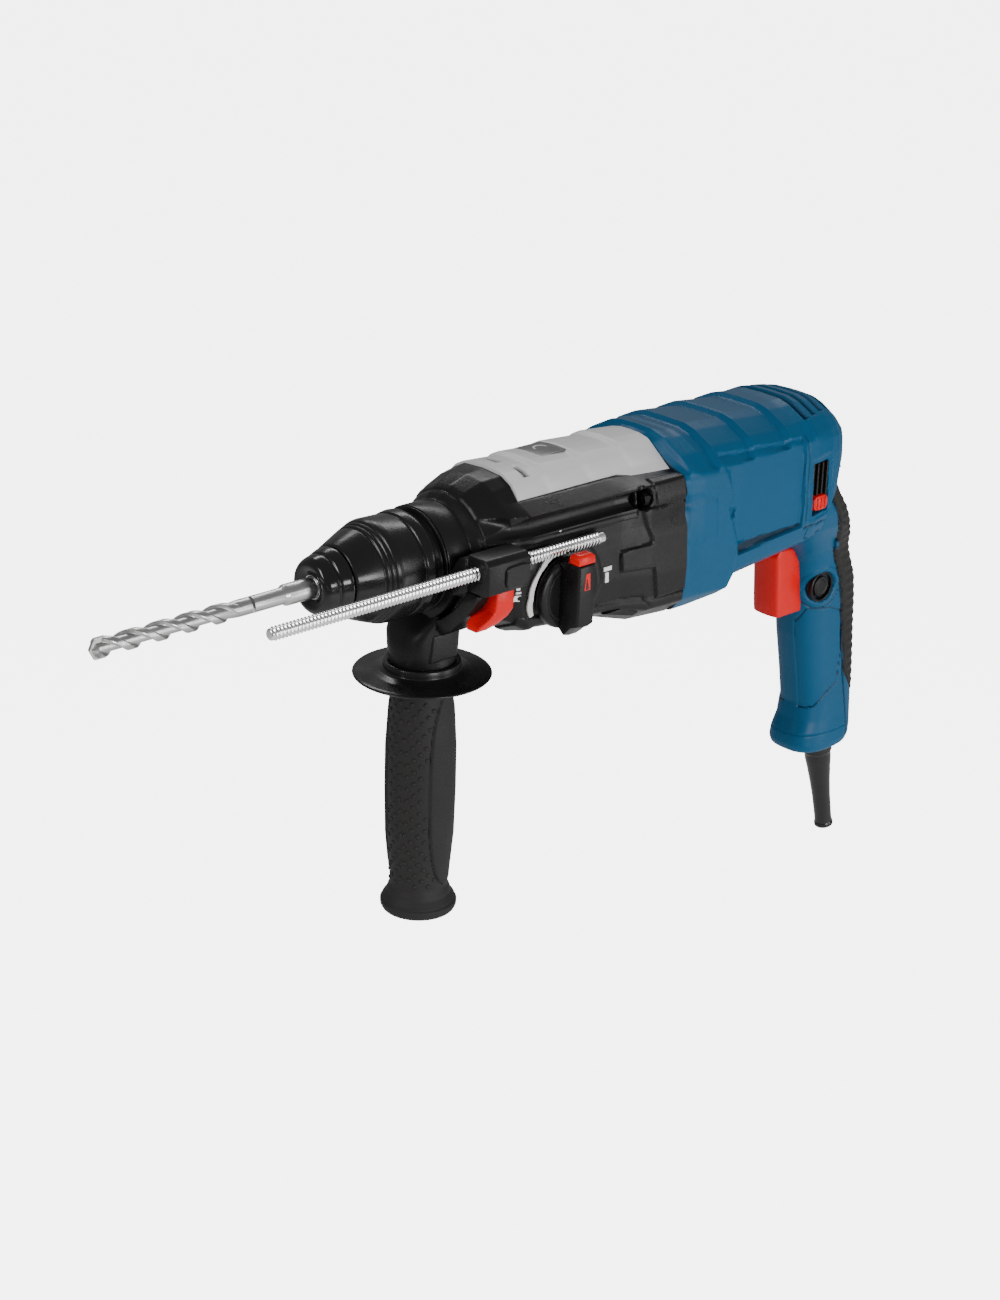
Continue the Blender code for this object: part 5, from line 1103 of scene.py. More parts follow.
def build_selector(red, black):
    """Round mode selector with its finger bar, window, pointer and release key."""
    y = KNOB_Y
    disc = rounded([(y - 4.0, 0.01), (y - 4.0, 15.2), (y - 3.2, 17.2), (y + 0.3, 17.7), (y + 0.3, 0.01)],
                   0.6)
    parts = [loft(lathe_rings(disc, 96, (KNOB_X, 0, KNOB_Z), "Y"))]
    ring_groove = [(y - 4.3, 12.2), (y - 4.3, 13.6), (y - 3.8, 13.9), (y - 3.8, 12.0), (y - 4.3, 12.2)]
    parts.append(loft(lathe_rings(ring_groove, 96, (KNOB_X, 0, KNOB_Z), "Y"), capped=False))
    hub = [(y + 0.2, 0.01), (y + 0.2, 6.9), (y + 9.4, 6.9), (y + 9.4, 0.01)]
    parts.append(loft(lathe_rings(hub, 40, (KNOB_X, 0, KNOB_Z), "Y")))
    half = 6.3
    bar = []
    for depth, narrow, low, high in ((3.6, 0.0, -15.5, 16.4), (7.0, 0.1, -18.5, 17.4),
                                     (11.0, 0.6, -14.0, 17.4),
                                     (14.6, 1.0, -12.6, 17.4), (15.6, 1.8, -11.8, 16.8)):
        w = half - narrow
        ring = [(KNOB_X - w, y - depth, KNOB_Z + low), (KNOB_X - w * 0.4, y - depth, KNOB_Z + low - 1.0),
                (KNOB_X + w * 0.4, y - depth, KNOB_Z + low - 1.0), (KNOB_X + w, y - depth, KNOB_Z + low),
                (KNOB_X + w, y - depth, KNOB_Z + high), (KNOB_X - w, y - depth, KNOB_Z + high)]
        bar.append(ring)
    parts.append(loft(bar))
    knob = joined("selector_knob", parts, 32)
    bevelled(knob, 0.55, 2, 32)
    finish_piece(knob, "selector", black, ("mode_knob",))
    window = joined("selector_window", [slab([(KNOB_X - 1.9, KNOB_Z + 5.2), (KNOB_X + 1.9, KNOB_Z + 5.2),
                                              (KNOB_X + 1.6, KNOB_Z + 13.4), (KNOB_X - 1.0, KNOB_Z + 13.4)],
                                             y - 15.75, y - 15.3)])
    finish_piece(window, "selector", red)
    pointer = joined("selector_pointer", [slab([(KNOB_X - 0.9, KNOB_Z + 5.6), (KNOB_X + 1.0, KNOB_Z + 5.6),
                                                (KNOB_X - 0.4, KNOB_Z + 10.6)], y - 16.0, y - 15.6)])
    finish_piece(pointer, "selector", paint_of("gloss"))
    low, high = KNOB_Z + 17.6, KNOB_Z + 22.6
    key = loft([[(KNOB_X - 5.4, y - 8.0, low), (KNOB_X + 5.4, y - 8.0, low), (KNOB_X + 5.4, y - 15.2, low),
                 (KNOB_X - 5.4, y - 15.2, low)],
                [(KNOB_X - 5.2, y - 8.4, high - 1.2), (KNOB_X + 5.2, y - 8.4, high - 1.2),
                 (KNOB_X + 5.2, y - 15.0, high - 1.2), (KNOB_X - 5.2, y - 15.0, high - 1.2)],
                [(KNOB_X - 3.6, y - 9.6, high), (KNOB_X + 3.6, y - 9.6, high),
                 (KNOB_X + 3.6, y - 13.8, high),
                 (KNOB_X - 3.6, y - 13.8, high)]])
    cap = joined("selector_key", [key], 40)
    bevelled(cap, 0.5, 2, 30)
    finish_piece(cap, "selector_button", red, ("mode_button",))
    arcs = []
    for start, end, inner, outer in ((72, 212, 18.0, 20.0), (-30, 50, 18.6, 19.6)):
        angles = np.radians(np.linspace(start, end, 60))
        outline = [(KNOB_X + outer * math.cos(a), KNOB_Z + outer * math.sin(a)) for a in angles]
        outline += [(KNOB_X + inner * math.cos(a), KNOB_Z + inner * math.sin(a)) for a in angles[::-1]]
        ring = [[(px, wall_y(px, pz) - lift, pz) for px, pz in outline] for lift in (-0.6, 0.22)]
        verts, _ = loft(ring, capped=False)
        count = len(outline)
        strip = [[k, k + 1, count - 2 - k, count - 1 - k] for k in range(count // 2 - 1)]
        _, walls = loft(ring, capped=False)
        arcs.append((verts, walls + strip + [[count + i for i in f[::-1]] for f in strip]))
    marks = joined("selector_scale", arcs)
    finish_piece(marks, "tool_body", paint_of("mark"))
    icons = []
    for shapes, (cx, cz) in zip(ICONS, ((93.0, -15.0), (122.0, 9.2), (146.6, -16.0))):
        for shape in shapes:
            outline = [(cx + a, cz + b) for a, b in shape]
            low = [(px, wall_y(px, pz) + 0.4, pz) for px, pz in outline]
            high = [(px, wall_y(px, pz) - 0.2, pz) for px, pz in outline]
            icons.append(loft([low, high]))
    icon = joined("selector_icons", icons)
    return finish_piece(icon, "tool_body", paint_of("mark"))


def box_shape(x0, z0, x1, z1):
    return [(x0, z0), (x1, z0), (x1, z1), (x0, z1)]


ICONS = (
    (box_shape(-1.5, -4.0, 1.5, -0.6), box_shape(-1.0, 0.2, 1.4, 1.2), box_shape(-0.9, 2.0, 0.9, 3.6)),
    (box_shape(-1.0, -0.6, 4.6, 1.4), box_shape(-4.6, -1.0, -3.0, 0.4), box_shape(-4.4, 1.0, -3.2, 2.0)),
    (box_shape(-0.6, -4.4, 1.6, 0.6), box_shape(-1.6, 1.4, 3.6, 3.4)),
)


def wall_y(x, z):
    """Left face of the gear housing near the selector."""
    places = [k[0] for k in GEAR_KEYS]
    half = np.array([[np.interp(x, places, [k[1][i][j] for k in GEAR_KEYS]) for j in (0, 1)]
                     for i in range(5, 12)])
    return -float(np.interp(z, half[::-1, 1], half[::-1, 0])) - (0.0 if z > -3 else 0.35)


# ---------------------------------------------------------------- repeated shapes

def node_tree(name, inputs):
    """A geometry node tree with one geometry input, named sizes and one geometry output."""
    tree = bpy.data.node_groups.new(name, 'GeometryNodeTree')
    tree.interface.new_socket(name="Geometry", in_out='INPUT', socket_type='NodeSocketGeometry')
    sockets = {}
    for label, kind, default in inputs:
        socket = tree.interface.new_socket(name=label, in_out='INPUT', socket_type=kind)
        if default is not None:
            socket.default_value = default
        sockets[label] = socket.identifier
    tree.interface.new_socket(name="Geometry", in_out='OUTPUT', socket_type='NodeSocketGeometry')
    start = tree.nodes.new('NodeGroupInput')
    end = tree.nodes.new('NodeGroupOutput')
    return tree, sockets, start, end


def run_tree(name, tree, sockets, values, smooth=SHARP_ANGLE, host=None):
    """Evaluate a tree on an empty mesh or a host and keep its result as a plain mesh."""
    piece = host or placed(name, bpy.data.meshes.new(name))
    modifier = piece.modifiers.new("pattern", 'NODES')
    modifier.node_group = tree
    for label, value in values.items():
        modifier[sockets[label]] = value
    return settled(piece, smooth)


def grid_tree():
    """Rows of one small solid along a line."""
    if "rows" in GROUPS:
        return GROUPS["rows"]
    tree, sockets, start, end = node_tree("rows of solids", [
        ("Count", 'NodeSocketInt', 4), ("Start", 'NodeSocketVector', (0, 0, 0)),
        ("Step", 'NodeSocketVector', (0.001, 0, 0)), ("Solid", 'NodeSocketObject', None),
        ("Finish", 'NodeSocketMaterial', None)])
    links = tree.links
    row = tree.nodes.new('GeometryNodeMeshLine')
    links.new(start.outputs["Count"], row.inputs["Count"])
    links.new(start.outputs["Start"], row.inputs["Start Location"])
    links.new(start.outputs["Step"], row.inputs["Offset"])
    solid = tree.nodes.new('GeometryNodeObjectInfo')
    links.new(start.outputs["Solid"], solid.inputs["Object"])
    copies = tree.nodes.new('GeometryNodeInstanceOnPoints')
    links.new(row.outputs["Mesh"], copies.inputs["Points"])
    links.new(solid.outputs["Geometry"], copies.inputs["Instance"])
    real = tree.nodes.new('GeometryNodeRealizeInstances')
    links.new(copies.outputs["Instances"], real.inputs["Geometry"])
    paint = tree.nodes.new('GeometryNodeSetMaterial')
    links.new(real.outputs["Geometry"], paint.inputs["Geometry"])
    links.new(start.outputs["Finish"], paint.inputs["Material"])
    links.new(paint.outputs["Geometry"], end.inputs["Geometry"])
    GROUPS["rows"] = (tree, sockets)
    return GROUPS["rows"]


def repeat(name, solid, first, step, count, finish, smooth=SHARP_ANGLE):
    """Copies of a small solid in a row, made by the tree; the solid itself is then removed."""
    tree, sockets = grid_tree()
    piece = run_tree(name, tree, sockets, {
        "Count": count, "Start": tuple(np.asarray(first) * MM), "Step": tuple(np.asarray(step) * MM),
        "Solid": solid, "Finish": finish}, smooth)
    mesh = solid.data
    bpy.data.objects.remove(solid)
    bpy.data.meshes.remove(mesh)
    return piece


def grille(name, centre, count, pitch, size):
    """A row of upright rounded bars."""
    sx, sy, sz = (v / 2 for v in size)
    outline = [(-sx, -sy), (sx, -sy), (sx, sy), (-sx, sy)]
    bar = make_piece("bar", *loft([[(centre[0] + a, centre[1] + b, centre[2] + h) for a, b in outline]
                                   for h in (-sz, sz)]))
    bevelled(bar, 0.25, 2)
    return repeat(name, bar, (0, 0, 0), (pitch, 0, 0), count, paint_of("body"))


# ---------------------------------------------------------------- chuck, bit and depth rod

FLUTE_LEAD = 31.0
SHANK_R = 3.9
TOOTH_PITCH = 2.0


def build_chuck():
    """Dust cap, sliding sleeve with its ring grooves, and the sleeve's rear lip."""
    cap = turned("nose_cap", [
        (11.3, 5.6), (3.6, 5.6), (1.2, 5.3), (0.2, 6.4), (-0.9, 7.6), (-1.7, 9.0), (-1.9, 10.6),
        (-1.2, 12.2),
        (0.6, 13.4), (3.4, 14.2), (4.6, 14.4), (5.0, 13.9), (5.6, 14.0), (6.0, 14.9), (9.4, 16.1),
        (11.3, 16.5),
        (11.3, 5.6)], around=128, soften=0.6)
    finish_piece(cap, "spindle_set", paint_of("gloss"), ("dust_cap",))
    lip = turned("chuck_nose_bush", [(1.8, 5.15), (-0.3, 5.15), (-0.5, 5.6), (0.8, 5.9), (1.8, 5.9),
                                     (1.8, 5.15)],
                 around=64, soften=0.15)
    finish_piece(lip, "spindle_set", paint_of("plated"))
    sleeve = turned("chuck_sleeve_shell", [
        (12.1, 13.0), (12.1, 16.7), (13.0, 17.3), (24.6, 21.9), (25.0, 21.3), (25.6, 21.5), (26.0, 22.4),
        (27.0, 22.8), (27.3, 22.2), (27.9, 22.4), (28.3, 23.2), (29.3, 23.6), (29.6, 23.0), (30.2, 23.2),
        (30.6, 24.0), (32.2, 24.6), (34.0, 24.8), (46.0, 24.4), (46.5, 23.7), (47.3, 23.7), (47.8, 24.7),
        (51.6, 25.3),
        (53.0, 25.1), (53.7, 24.3), (53.7, 22.9), (34.0, 22.9), (29.5, 20.4), (29.5, 13.0), (12.1, 13.0)],
        around=160, soften=0.45)
    return finish_piece(sleeve, "chuck_sleeve", paint_of("sleeve"), ("locking_sleeve",))


def build_bit():
    """Twist drill with a wide helical groove, a carbide tip and a slotted shank."""
    tip, flute_end = -120.0, -43.0
    stations = np.concatenate([np.linspace(tip + 3.6, flute_end, 300),
                               np.linspace(flute_end + 0.5, -36.5, 14)])
    around = 64
    base = np.linspace(0, 2 * np.pi, around, endpoint=False)
    rings = []
    for x in stations:
        turn = 2 * np.pi * (x - tip) / FLUTE_LEAD
        fade = 1 - float(smoothstep(np.array(x), flute_end - 12, flute_end + 2))
        wave = np.cos(2 * base)
        land = smoothstep(wave, 0.30, 0.62)
        radius = 2.75 + 1.75 * land
        radius = radius * fade + SHANK_R * (1 - fade)
        rings.append(np.stack([np.full(around, x), radius * np.cos(base + turn),
                               radius * np.sin(base + turn)], -1))
    for x, r in ((-35, SHANK_R), (-18.5, SHANK_R), (-17.6, 4.1), (-16.2, 4.9), (-15.6, 5.0), (38.6, 5.0),
                 (39.6, 4.2),
                 (39.8, 0.02)):
        rings.append(np.stack([np.full(around, x), r * np.cos(base), r * np.sin(base)], -1))
    point = []
    for x, r in ((tip + 0.2, 0.05), (tip + 1.9, 1.8), (tip + 3.5, 2.7)):
        point.append(np.stack([np.full(around, x), r * np.cos(base), r * np.sin(base)], -1))
    verts, faces = loft(np.array(point + rings))
    body = (verts, faces)
    blade = slab([(tip + 0.0, 0.0), (tip + 2.6, 4.9), (tip + 8.0, 4.9), (tip + 8.0, -4.9),
                  (tip + 2.6, -4.9)], -0.75,
                 0.75, "Y")
    bit = joined("twist_drill", [body, blade], 42)
    return finish_piece(bit, "bit", paint_of("bit"), ("drill_bit",))


def build_rod():
    """Depth rod: a round bar with rows of fine teeth on both sides."""
    x0, x1 = ROD_X
    r = 2.75
    profile = [(x0, 0.01), (x0, r - 0.6), (x0 + 0.6, r), (x1 - 1.6, r), (x1 - 0.5, r - 0.7), (x1, 0.9),
               (x1, 0.01)]
    bar = loft(lathe_rings(rounded(profile, 0.3), 40, (0, ROD_Y, ROD_Z)))
    rod = joined("depth_bar", [bar], 40)
    finish_piece(rod, "stop_rod", paint_of("plated"), ("depth_rod",))
    angles = np.radians(np.linspace(-50, 105, 15))
    tooth = []
    for dx, inner, outer in ((-0.8, 2.5, 2.55), (-0.25, 2.5, 3.3), (0.25, 2.5, 3.3), (0.8, 2.5, 2.55)):
        out = [(x0 + 2.0 + dx, ROD_Y - outer * math.cos(a), ROD_Z + outer * math.sin(a)) for a in angles]
        back = [(x0 + 2.0 + dx, ROD_Y - inner * math.cos(a),
                 ROD_Z + inner * math.sin(a)) for a in angles[::-1]]
        tooth.append(out + back)
    solid = make_piece("tooth", *loft(tooth))
    count = int((x1 - x0 - 6) / TOOTH_PITCH)
    teeth = repeat("depth_bar_teeth", solid, (0, 0, 0), (TOOTH_PITCH, 0, 0), count, paint_of("plated"), 30)
    return finish_piece(teeth, "stop_rod", paint_of("plated"))


# ---------------------------------------------------------------- side handle

PANEL_ANGLE, PANEL_HALF = 289.0, 44.0
PANEL_Z, PANEL_HALF_LENGTH = -116.5, 51.0
DIMPLE_ROW, DIMPLE_SPACING, DIMPLES_AROUND = 3.1, 6.6, 16


def box_part(low, high):
    (x0, y0, z0), (x1, y1, z1) = low, high
    return loft([[(x0, y0, z), (x1, y0, z), (x1, y1, z), (x0, y1, z)] for z in (z0, z1)])


def build_side_handle():
    """Clamp head with its rod block and stem, the band, the grip with its dimples, and the release key."""
    black, soft, red = paint_of("body"), paint_of("soft"), paint_of("controls")
    x = HANDLE_X
    y = ROD_Y
    block = joined("rod_block_body", [
        loft([[(62.0, y - 4.6, -6.8), (88.0, y - 4.6, -6.8), (88.0, y + 6.4, -6.8), (62.0, y + 6.4, -6.8)],
              [(62.0, y - 8.4, -5.0), (88.0, y - 8.4, -5.0), (88.0, y + 6.4, -5.0), (62.0, y + 6.4, -5.0)],
              [(62.0, y - 8.4, 9.0), (88.0, y - 8.4, 9.0), (88.0, y + 6.4, 9.0), (62.0, y + 6.4, 9.0)],
              [(62.0, y - 5.6, 11.5), (88.0, y - 5.6, 11.5), (88.0, y + 6.4, 11.5),
               (62.0, y + 6.4, 11.5)]])], 30)
    bevelled(block, 0.9, 3, 25)
    finish_piece(block, "side_handle", black)
    pad_rings = []
    for depth, inset in ((8.2, 0.0), (9.1, 0.0), (9.5, 0.5)):
        pad_rings.append([(79.6 + a, y - depth, 1.6 + b) for a,
                          b in oval(40, 7.4 - inset, 5.4 - inset, 0.45, 0.45)])
    pad = joined("rod_block_pad", [loft(pad_rings)], 30)
    finish_piece(pad, "side_handle", black)
    bridge = joined("clamp_arm", [
        loft([[(60.2, yy, z1), (74.4, yy, z1), (74.4, yy, z2), (60.2, yy, z2)] for yy, z1, z2 in
              ((-36.0, -7.0, 10.6), (-30.5, -9.5, 9.0), (-26.4, -11.0, 3.0), (-22.6, -16.0, -12.0))]),
        loft([[(60.6, a, b), (74.0, a, b), (74.0, c, d), (60.6, c, d)] for a, b, c, d in
              ((-43.6, -6.6, -35.4, -6.6), (-42.0, -11.0, -31.5, -12.0), (-35.0, -20.0, -26.2, -18.2),
               (-27.0, -28.5, -18.5, -24.5), (-18.5, -33.5, -11.0, -27.6))])], 30)
    bevelled(bridge, 1.1, 3, 25)
    finish_piece(bridge, "side_handle", black)
    arc = np.radians(np.linspace(-18, 198, 90))
    outer = [(25.5 * math.cos(a), 25.5 * math.sin(a)) for a in arc]
    inner = [(24.75 * math.cos(a), 24.75 * math.sin(a)) for a in arc[::-1]]
    section = outer + inner
    rings = np.array([[(x + dx, a * k, b * k) for a, b in section] for dx, k in
                      ((-6.5, 0.992), (-6.0, 1.0), (6.0, 1.0), (6.5, 0.992))])
    verts, walls = loft(rings, capped=False)
    n = len(section)
    lids = []
    for k in range(n // 2 - 1):
        quad = [k, k + 1, n - 2 - k, n - 1 - k]
        lids += [quad, [3 * n + i for i in quad[::-1]]]
    band = make_piece("clamp_strap", verts, walls + lids)
    finish_piece(band, "side_handle", black, ("clamp_band",))
    saddle = []
    for dx in (-6.5, 6.5):
        low = np.radians(np.linspace(200, 340, 40))
        ring = [(x + dx, 28.6 * math.cos(a), 28.6 * math.sin(a)) for a in low]
        ring += [(x + dx, 24.8 * math.cos(a), 24.8 * math.sin(a)) for a in low[::-1]]
        saddle.append(ring)
    saddle_verts, saddle_walls = loft(saddle, capped=False)
    n = 80
    for k in range(39):
        quad = [k, k + 1, n - 2 - k, n - 1 - k]
        saddle_walls += [quad, [n + i for i in quad[::-1]]]
    stem = []
    for z, wide, deep, power in ((-24.6, 6.4, 17.5, 0.5), (-28.0, 8.0, 16.6, 0.5), (-32.0, 11.5, 15.6, 0.5),
                                 (-37.0, 14.6, 15.0, 0.55), (-44.0, 15.6, 15.0, 0.7),
                                 (-49.0, 15.8, 15.4, 0.85),
                                 (-51.6, 15.8, 15.8, 1.0)):
        stem.append([(x + a, b, z) for a, b in oval(72, wide, deep, power, power)])
    neck = joined("handle_stem_body", [(saddle_verts, saddle_walls), loft(stem)], 34)
    finish_piece(neck, "side_handle", black, ("side_handle_head",))
    painted_shade_strength = joined("handle_stem_panel", [loft([
        [(x - w, -deep, z - h), (x + w, -deep, z - h), (x + w * 0.8, -deep, z + h),
         (x - w * 0.8, -deep, z + h)]
        for deep, w, h, z in ((13.0, 8.6, 7.2, -41.0), (15.4, 8.2, 6.8, -41.0), (15.7, 7.6, 6.2, -41.0))])],
                    30)
    bevelled(painted_shade_strength, 0.5, 2, 25)
    finish_piece(painted_shade_strength, "side_handle", black)
    centre = (x, 0, 0)
    cup = turned("handle_cup", [(-51.9, 15.6), (-51.3, 17.6), (-51.6, 18.6), (-53.6, 18.9), (-55.2, 18.9),
                                (-56.0, 20.6),
                                (-56.8, 24.0), (-57.3, 31.6), (-57.7, 33.0), (-58.2, 33.4), (-58.8, 33.0),
                                (-59.2, 31.4), (-59.6, 22.0), (-60.6, 16.4), (-61.2, 14.2), (-52.4, 13.6),
                                (-51.9, 15.6)], centre, "Z", 144, 0.4)
    finish_piece(cup, "handle_grip", paint_of("sleeve"))
    build_grip_sleeve(centre, soft)
    release(red)
    slot = joined("clamp_arm_slot", [box_part((63.0, -37.6, -16.4), (67.6, -33.6, -13.4))])
    return finish_piece(slot, "side_handle", paint_of("gloss"))


def grip_profile(z):
    keys = ((-184.3, 12.0), (-183.6, 15.6), (-182.4, 18.0), (-180.6, 18.9), (-178.6, 19.0), (-176.4, 18.0),
            (-173.6, 16.0), (-169.0, 14.8), (-160.0, 14.8), (-142.0, 16.4), (-118.0, 16.9), (-96.0, 16.8),
            (-76.0, 15.6), (-66.0, 14.7), (-60.8, 14.3))
    return np.interp(z, [k[0] for k in keys], [k[1] for k in keys])


def build_grip_sleeve(centre, soft):
    """Side grip with a smooth raised panel and rows of dimples."""
    zs = np.concatenate([np.linspace(-60.8, -172.0, 150), np.linspace(-172.5, -184.3, 34)])
    around = 160
    angles = np.linspace(0, 2 * np.pi, around, endpoint=False)
    z, a = np.meshgrid(zs, angles, indexing="ij")
    radius = grip_profile(z)
    wrapped = np.mod(a - math.radians(PANEL_ANGLE) + np.pi, 2 * np.pi) - np.pi
    taper = np.clip(1 - np.abs((z - PANEL_Z) / PANEL_HALF_LENGTH) ** 3, 0, 1) ** 0.5
    smooth_side = np.abs(wrapped) - np.radians(PANEL_HALF) * taper
    opposite = np.abs(np.mod(a - math.radians(PANEL_ANGLE - 180) + np.pi,
                             2 * np.pi) - np.pi) - np.radians(PANEL_HALF) * taper
    sides = np.minimum(smooth_side, opposite)
    inside_panel = (1 - smoothstep(sides * radius, -0.5, 0.5)) * (np.abs(z - PANEL_Z) < PANEL_HALF_LENGTH)
    groove = (1 - smoothstep(np.abs(sides * radius), 0.2, 0.9)) * (np.abs(z - PANEL_Z) < PANEL_HALF_LENGTH)
    band = smoothstep(z, -172.0, -169.5) * (1 - smoothstep(z, -65.5, -64.0))
    radius = radius + 0.55 * inside_panel - 0.6 * groove - 0.35 * band * (1 - inside_panel) - 0.15
    radius = radius - 0.5 * (1 - smoothstep(np.abs(z + 177.2), 0.3, 0.8))
    rings = np.stack([centre[0] + radius * np.cos(a), radius * np.sin(a), z], -1)
    verts, faces = loft(rings)
    grip = make_piece("grip_sleeve", verts, faces, 50)
    finish_piece(grip, "handle_grip", soft, ("side_grip",))
    spots, normals = [], []
    for row, height in enumerate(np.arange(-166.0, -67.0, DIMPLE_ROW)):
        r = float(grip_profile(height)) - 0.42
        span = math.degrees(DIMPLE_SPACING / r)
        for k in range(DIMPLES_AROUND):
            angle = PANEL_ANGLE + 90 + (k - DIMPLES_AROUND / 2 + (0.5 if row % 2 else 0.0)) * span
            apart = [abs((angle - c + 180) % 360 - 180) for c in (PANEL_ANGLE, PANEL_ANGLE - 180)]
            shrink = max(0.0, 1 - abs((height - PANEL_Z) / PANEL_HALF_LENGTH) ** 3) ** 0.5
            if min(apart) < PANEL_HALF * shrink + 5.0 or not -90 <= angle - PANEL_ANGLE < 270:
                continue
            t = math.radians(angle)
            spots.append((centre[0] + r * math.cos(t), r * math.sin(t), height))
            normals.append((math.cos(t), math.sin(t), 0))
    tree, sockets, start, end = node_tree("raised dimples", [
        ("Radius", 'NodeSocketFloat', 0.0011), ("Flatness", 'NodeSocketFloat', 0.55),
        ("Finish", 'NodeSocketMaterial', None)])
    links = tree.links
    dome = tree.nodes.new('GeometryNodeMeshUVSphere')
    dome.inputs["Segments"].default_value = 10
    dome.inputs["Rings"].default_value = 7
    links.new(start.outputs["Radius"], dome.inputs["Radius"])
    facing = tree.nodes.new('GeometryNodeInputNamedAttribute')
    facing.data_type = 'FLOAT_VECTOR'
    facing.inputs["Name"].default_value = "facing"
    turn = tree.nodes.new('FunctionNodeAlignEulerToVector')
    turn.axis = 'Z'
    links.new(facing.outputs["Attribute"], turn.inputs["Vector"])
    flat = tree.nodes.new('ShaderNodeCombineXYZ')
    flat.inputs["X"].default_value = 1.0
    flat.inputs["Y"].default_value = 1.0
    links.new(start.outputs["Flatness"], flat.inputs["Z"])
    copies = tree.nodes.new('GeometryNodeInstanceOnPoints')
    links.new(start.outputs["Geometry"], copies.inputs["Points"])
    links.new(dome.outputs["Mesh"], copies.inputs["Instance"])
    links.new(turn.outputs["Rotation"], copies.inputs["Rotation"])
    links.new(flat.outputs["Vector"], copies.inputs["Scale"])
    real = tree.nodes.new('GeometryNodeRealizeInstances')
    links.new(copies.outputs["Instances"], real.inputs["Geometry"])
    paint = tree.nodes.new('GeometryNodeSetMaterial')
    links.new(real.outputs["Geometry"], paint.inputs["Geometry"])
    links.new(start.outputs["Finish"], paint.inputs["Material"])
    links.new(paint.outputs["Geometry"], end.inputs["Geometry"])
    mesh = bpy.data.meshes.new("grip_dimples")
    mesh.from_pydata(world(spots).tolist(), [], [])
    layer = mesh.attributes.new("facing", 'FLOAT_VECTOR', 'POINT')
    layer.data.foreach_set("vector", np.array(normals, float).reshape(-1))
    dimples = placed("grip_dimples", mesh)
    radius = bpy.context.scene.hammer_sizes.dimple_radius
    run_tree("grip_dimples", tree, sockets, {"Radius": radius, "Flatness": 0.55, "Finish": soft}, 60,
             host=dimples)
    return finish_piece(dimples, "handle_grip", soft)


def release(red):
    """Stepped release key under the rod block."""
    y = ROD_Y
    top = -2.8
    rings = []
    for z, x0, x1, y0, y1 in ((top, 68.4, 79.2, y - 7.2, y + 5.0), (-9.0, 68.2, 79.2, y - 7.4, y + 5.0),
                              (-14.4, 67.8, 79.2, y - 7.2, y + 5.0), (-17.6, 64.0, 76.8, y - 6.6, y + 5.0),
                              (-20.8, 60.6, 72.6, y - 5.0, y + 4.6), (-23.8, 59.8, 66.0, y - 3.0, y + 3.8)):
        rings.append([(x0, y0, z), (x1, y0, z), (x1, y1, z), (x0, y1, z)])
    key = joined("rod_release_key", [loft(rings)], 30)
    bevelled(key, 0.8, 3, 28)
    return finish_piece(key, "rod_release", red, ("rod_release_button",))


def build_cord_end():
    """Bend relief at the grip's foot, with its flange, ribs and bead."""
    start = np.array([363.5, 0.0, -176.0])
    lean = math.radians(77.5)
    profile = [(-1.5, 3.7), (-1.5, 7.5), (4.0, 7.6), (5.0, 8.2), (8.6, 8.3), (9.4, 7.5)]
    profile += [(14.0, 7.4), (20.0, 6.7), (30.0, 5.8), (40.0, 5.2)]
    profile += [(52.5, 4.9), (57.6, 4.9), (58.4, 5.4), (60.2, 5.4), (60.5, 5.0), (60.5, 3.7), (-1.5, 3.7)]
    rings = np.array(lathe_rings(rounded(profile, 0.4), 72, (0, 0, 0), "X"))
    turn = np.array(Matrix.Rotation(lean, 3, 'Y'))
    rings = rings @ turn.T + start
    verts, faces = loft(rings, capped=False)
    relief = make_piece("bend_relief", verts, faces, 40)
    return finish_piece(relief, "tool_body", paint_of("gloss"), ("strain_relief",))


def build_inside():
    """Give every CAD piece that still shows its own metal, plastic or rubber finish."""
    slots = {entry["node"]: entry["material_slot"] for entry in frame["record"]["subparts"]}
    for name, node in frame["nodes"].items():
        finish = paint_of("dark" if name.startswith("housing_screw") else SLOT_PARTS[slots[name]])
        if node.material_slots:
            for material_slot in node.material_slots:
                material_slot.material = finish
        else:
            node.data.materials.append(finish)


# ---------------------------------------------------------------- studio

FLOOR_GLOW = 5.0
SKY_GLOW = 0.30
FLOOR_DROP = 0.45
FLOOR_REACH = 60.0
CAMERA_LENS = 70.89
CAMERA_AT = (-673.5, -839.8, 410.8)
CAMERA_RIGHT = (0.7357, -0.6768, 0.0274)
CAMERA_UP = (0.2375, 0.2957, 0.9253)
CAMERA_FORWARD = (0.6343, 0.6742, -0.3783)


def area_light(name, at, aim, size, power):
    """A rectangular lamp that faces a point."""
    lamp = bpy.data.lights.new(name, 'AREA')
    lamp.shape = 'RECTANGLE'
    lamp.size, lamp.size_y = size
    lamp.energy = power
    holder = placed(name, lamp)
    holder.location = at
    holder.rotation_euler = (Vector(aim) - Vector(at)).to_track_quat('-Z', 'Y').to_euler()


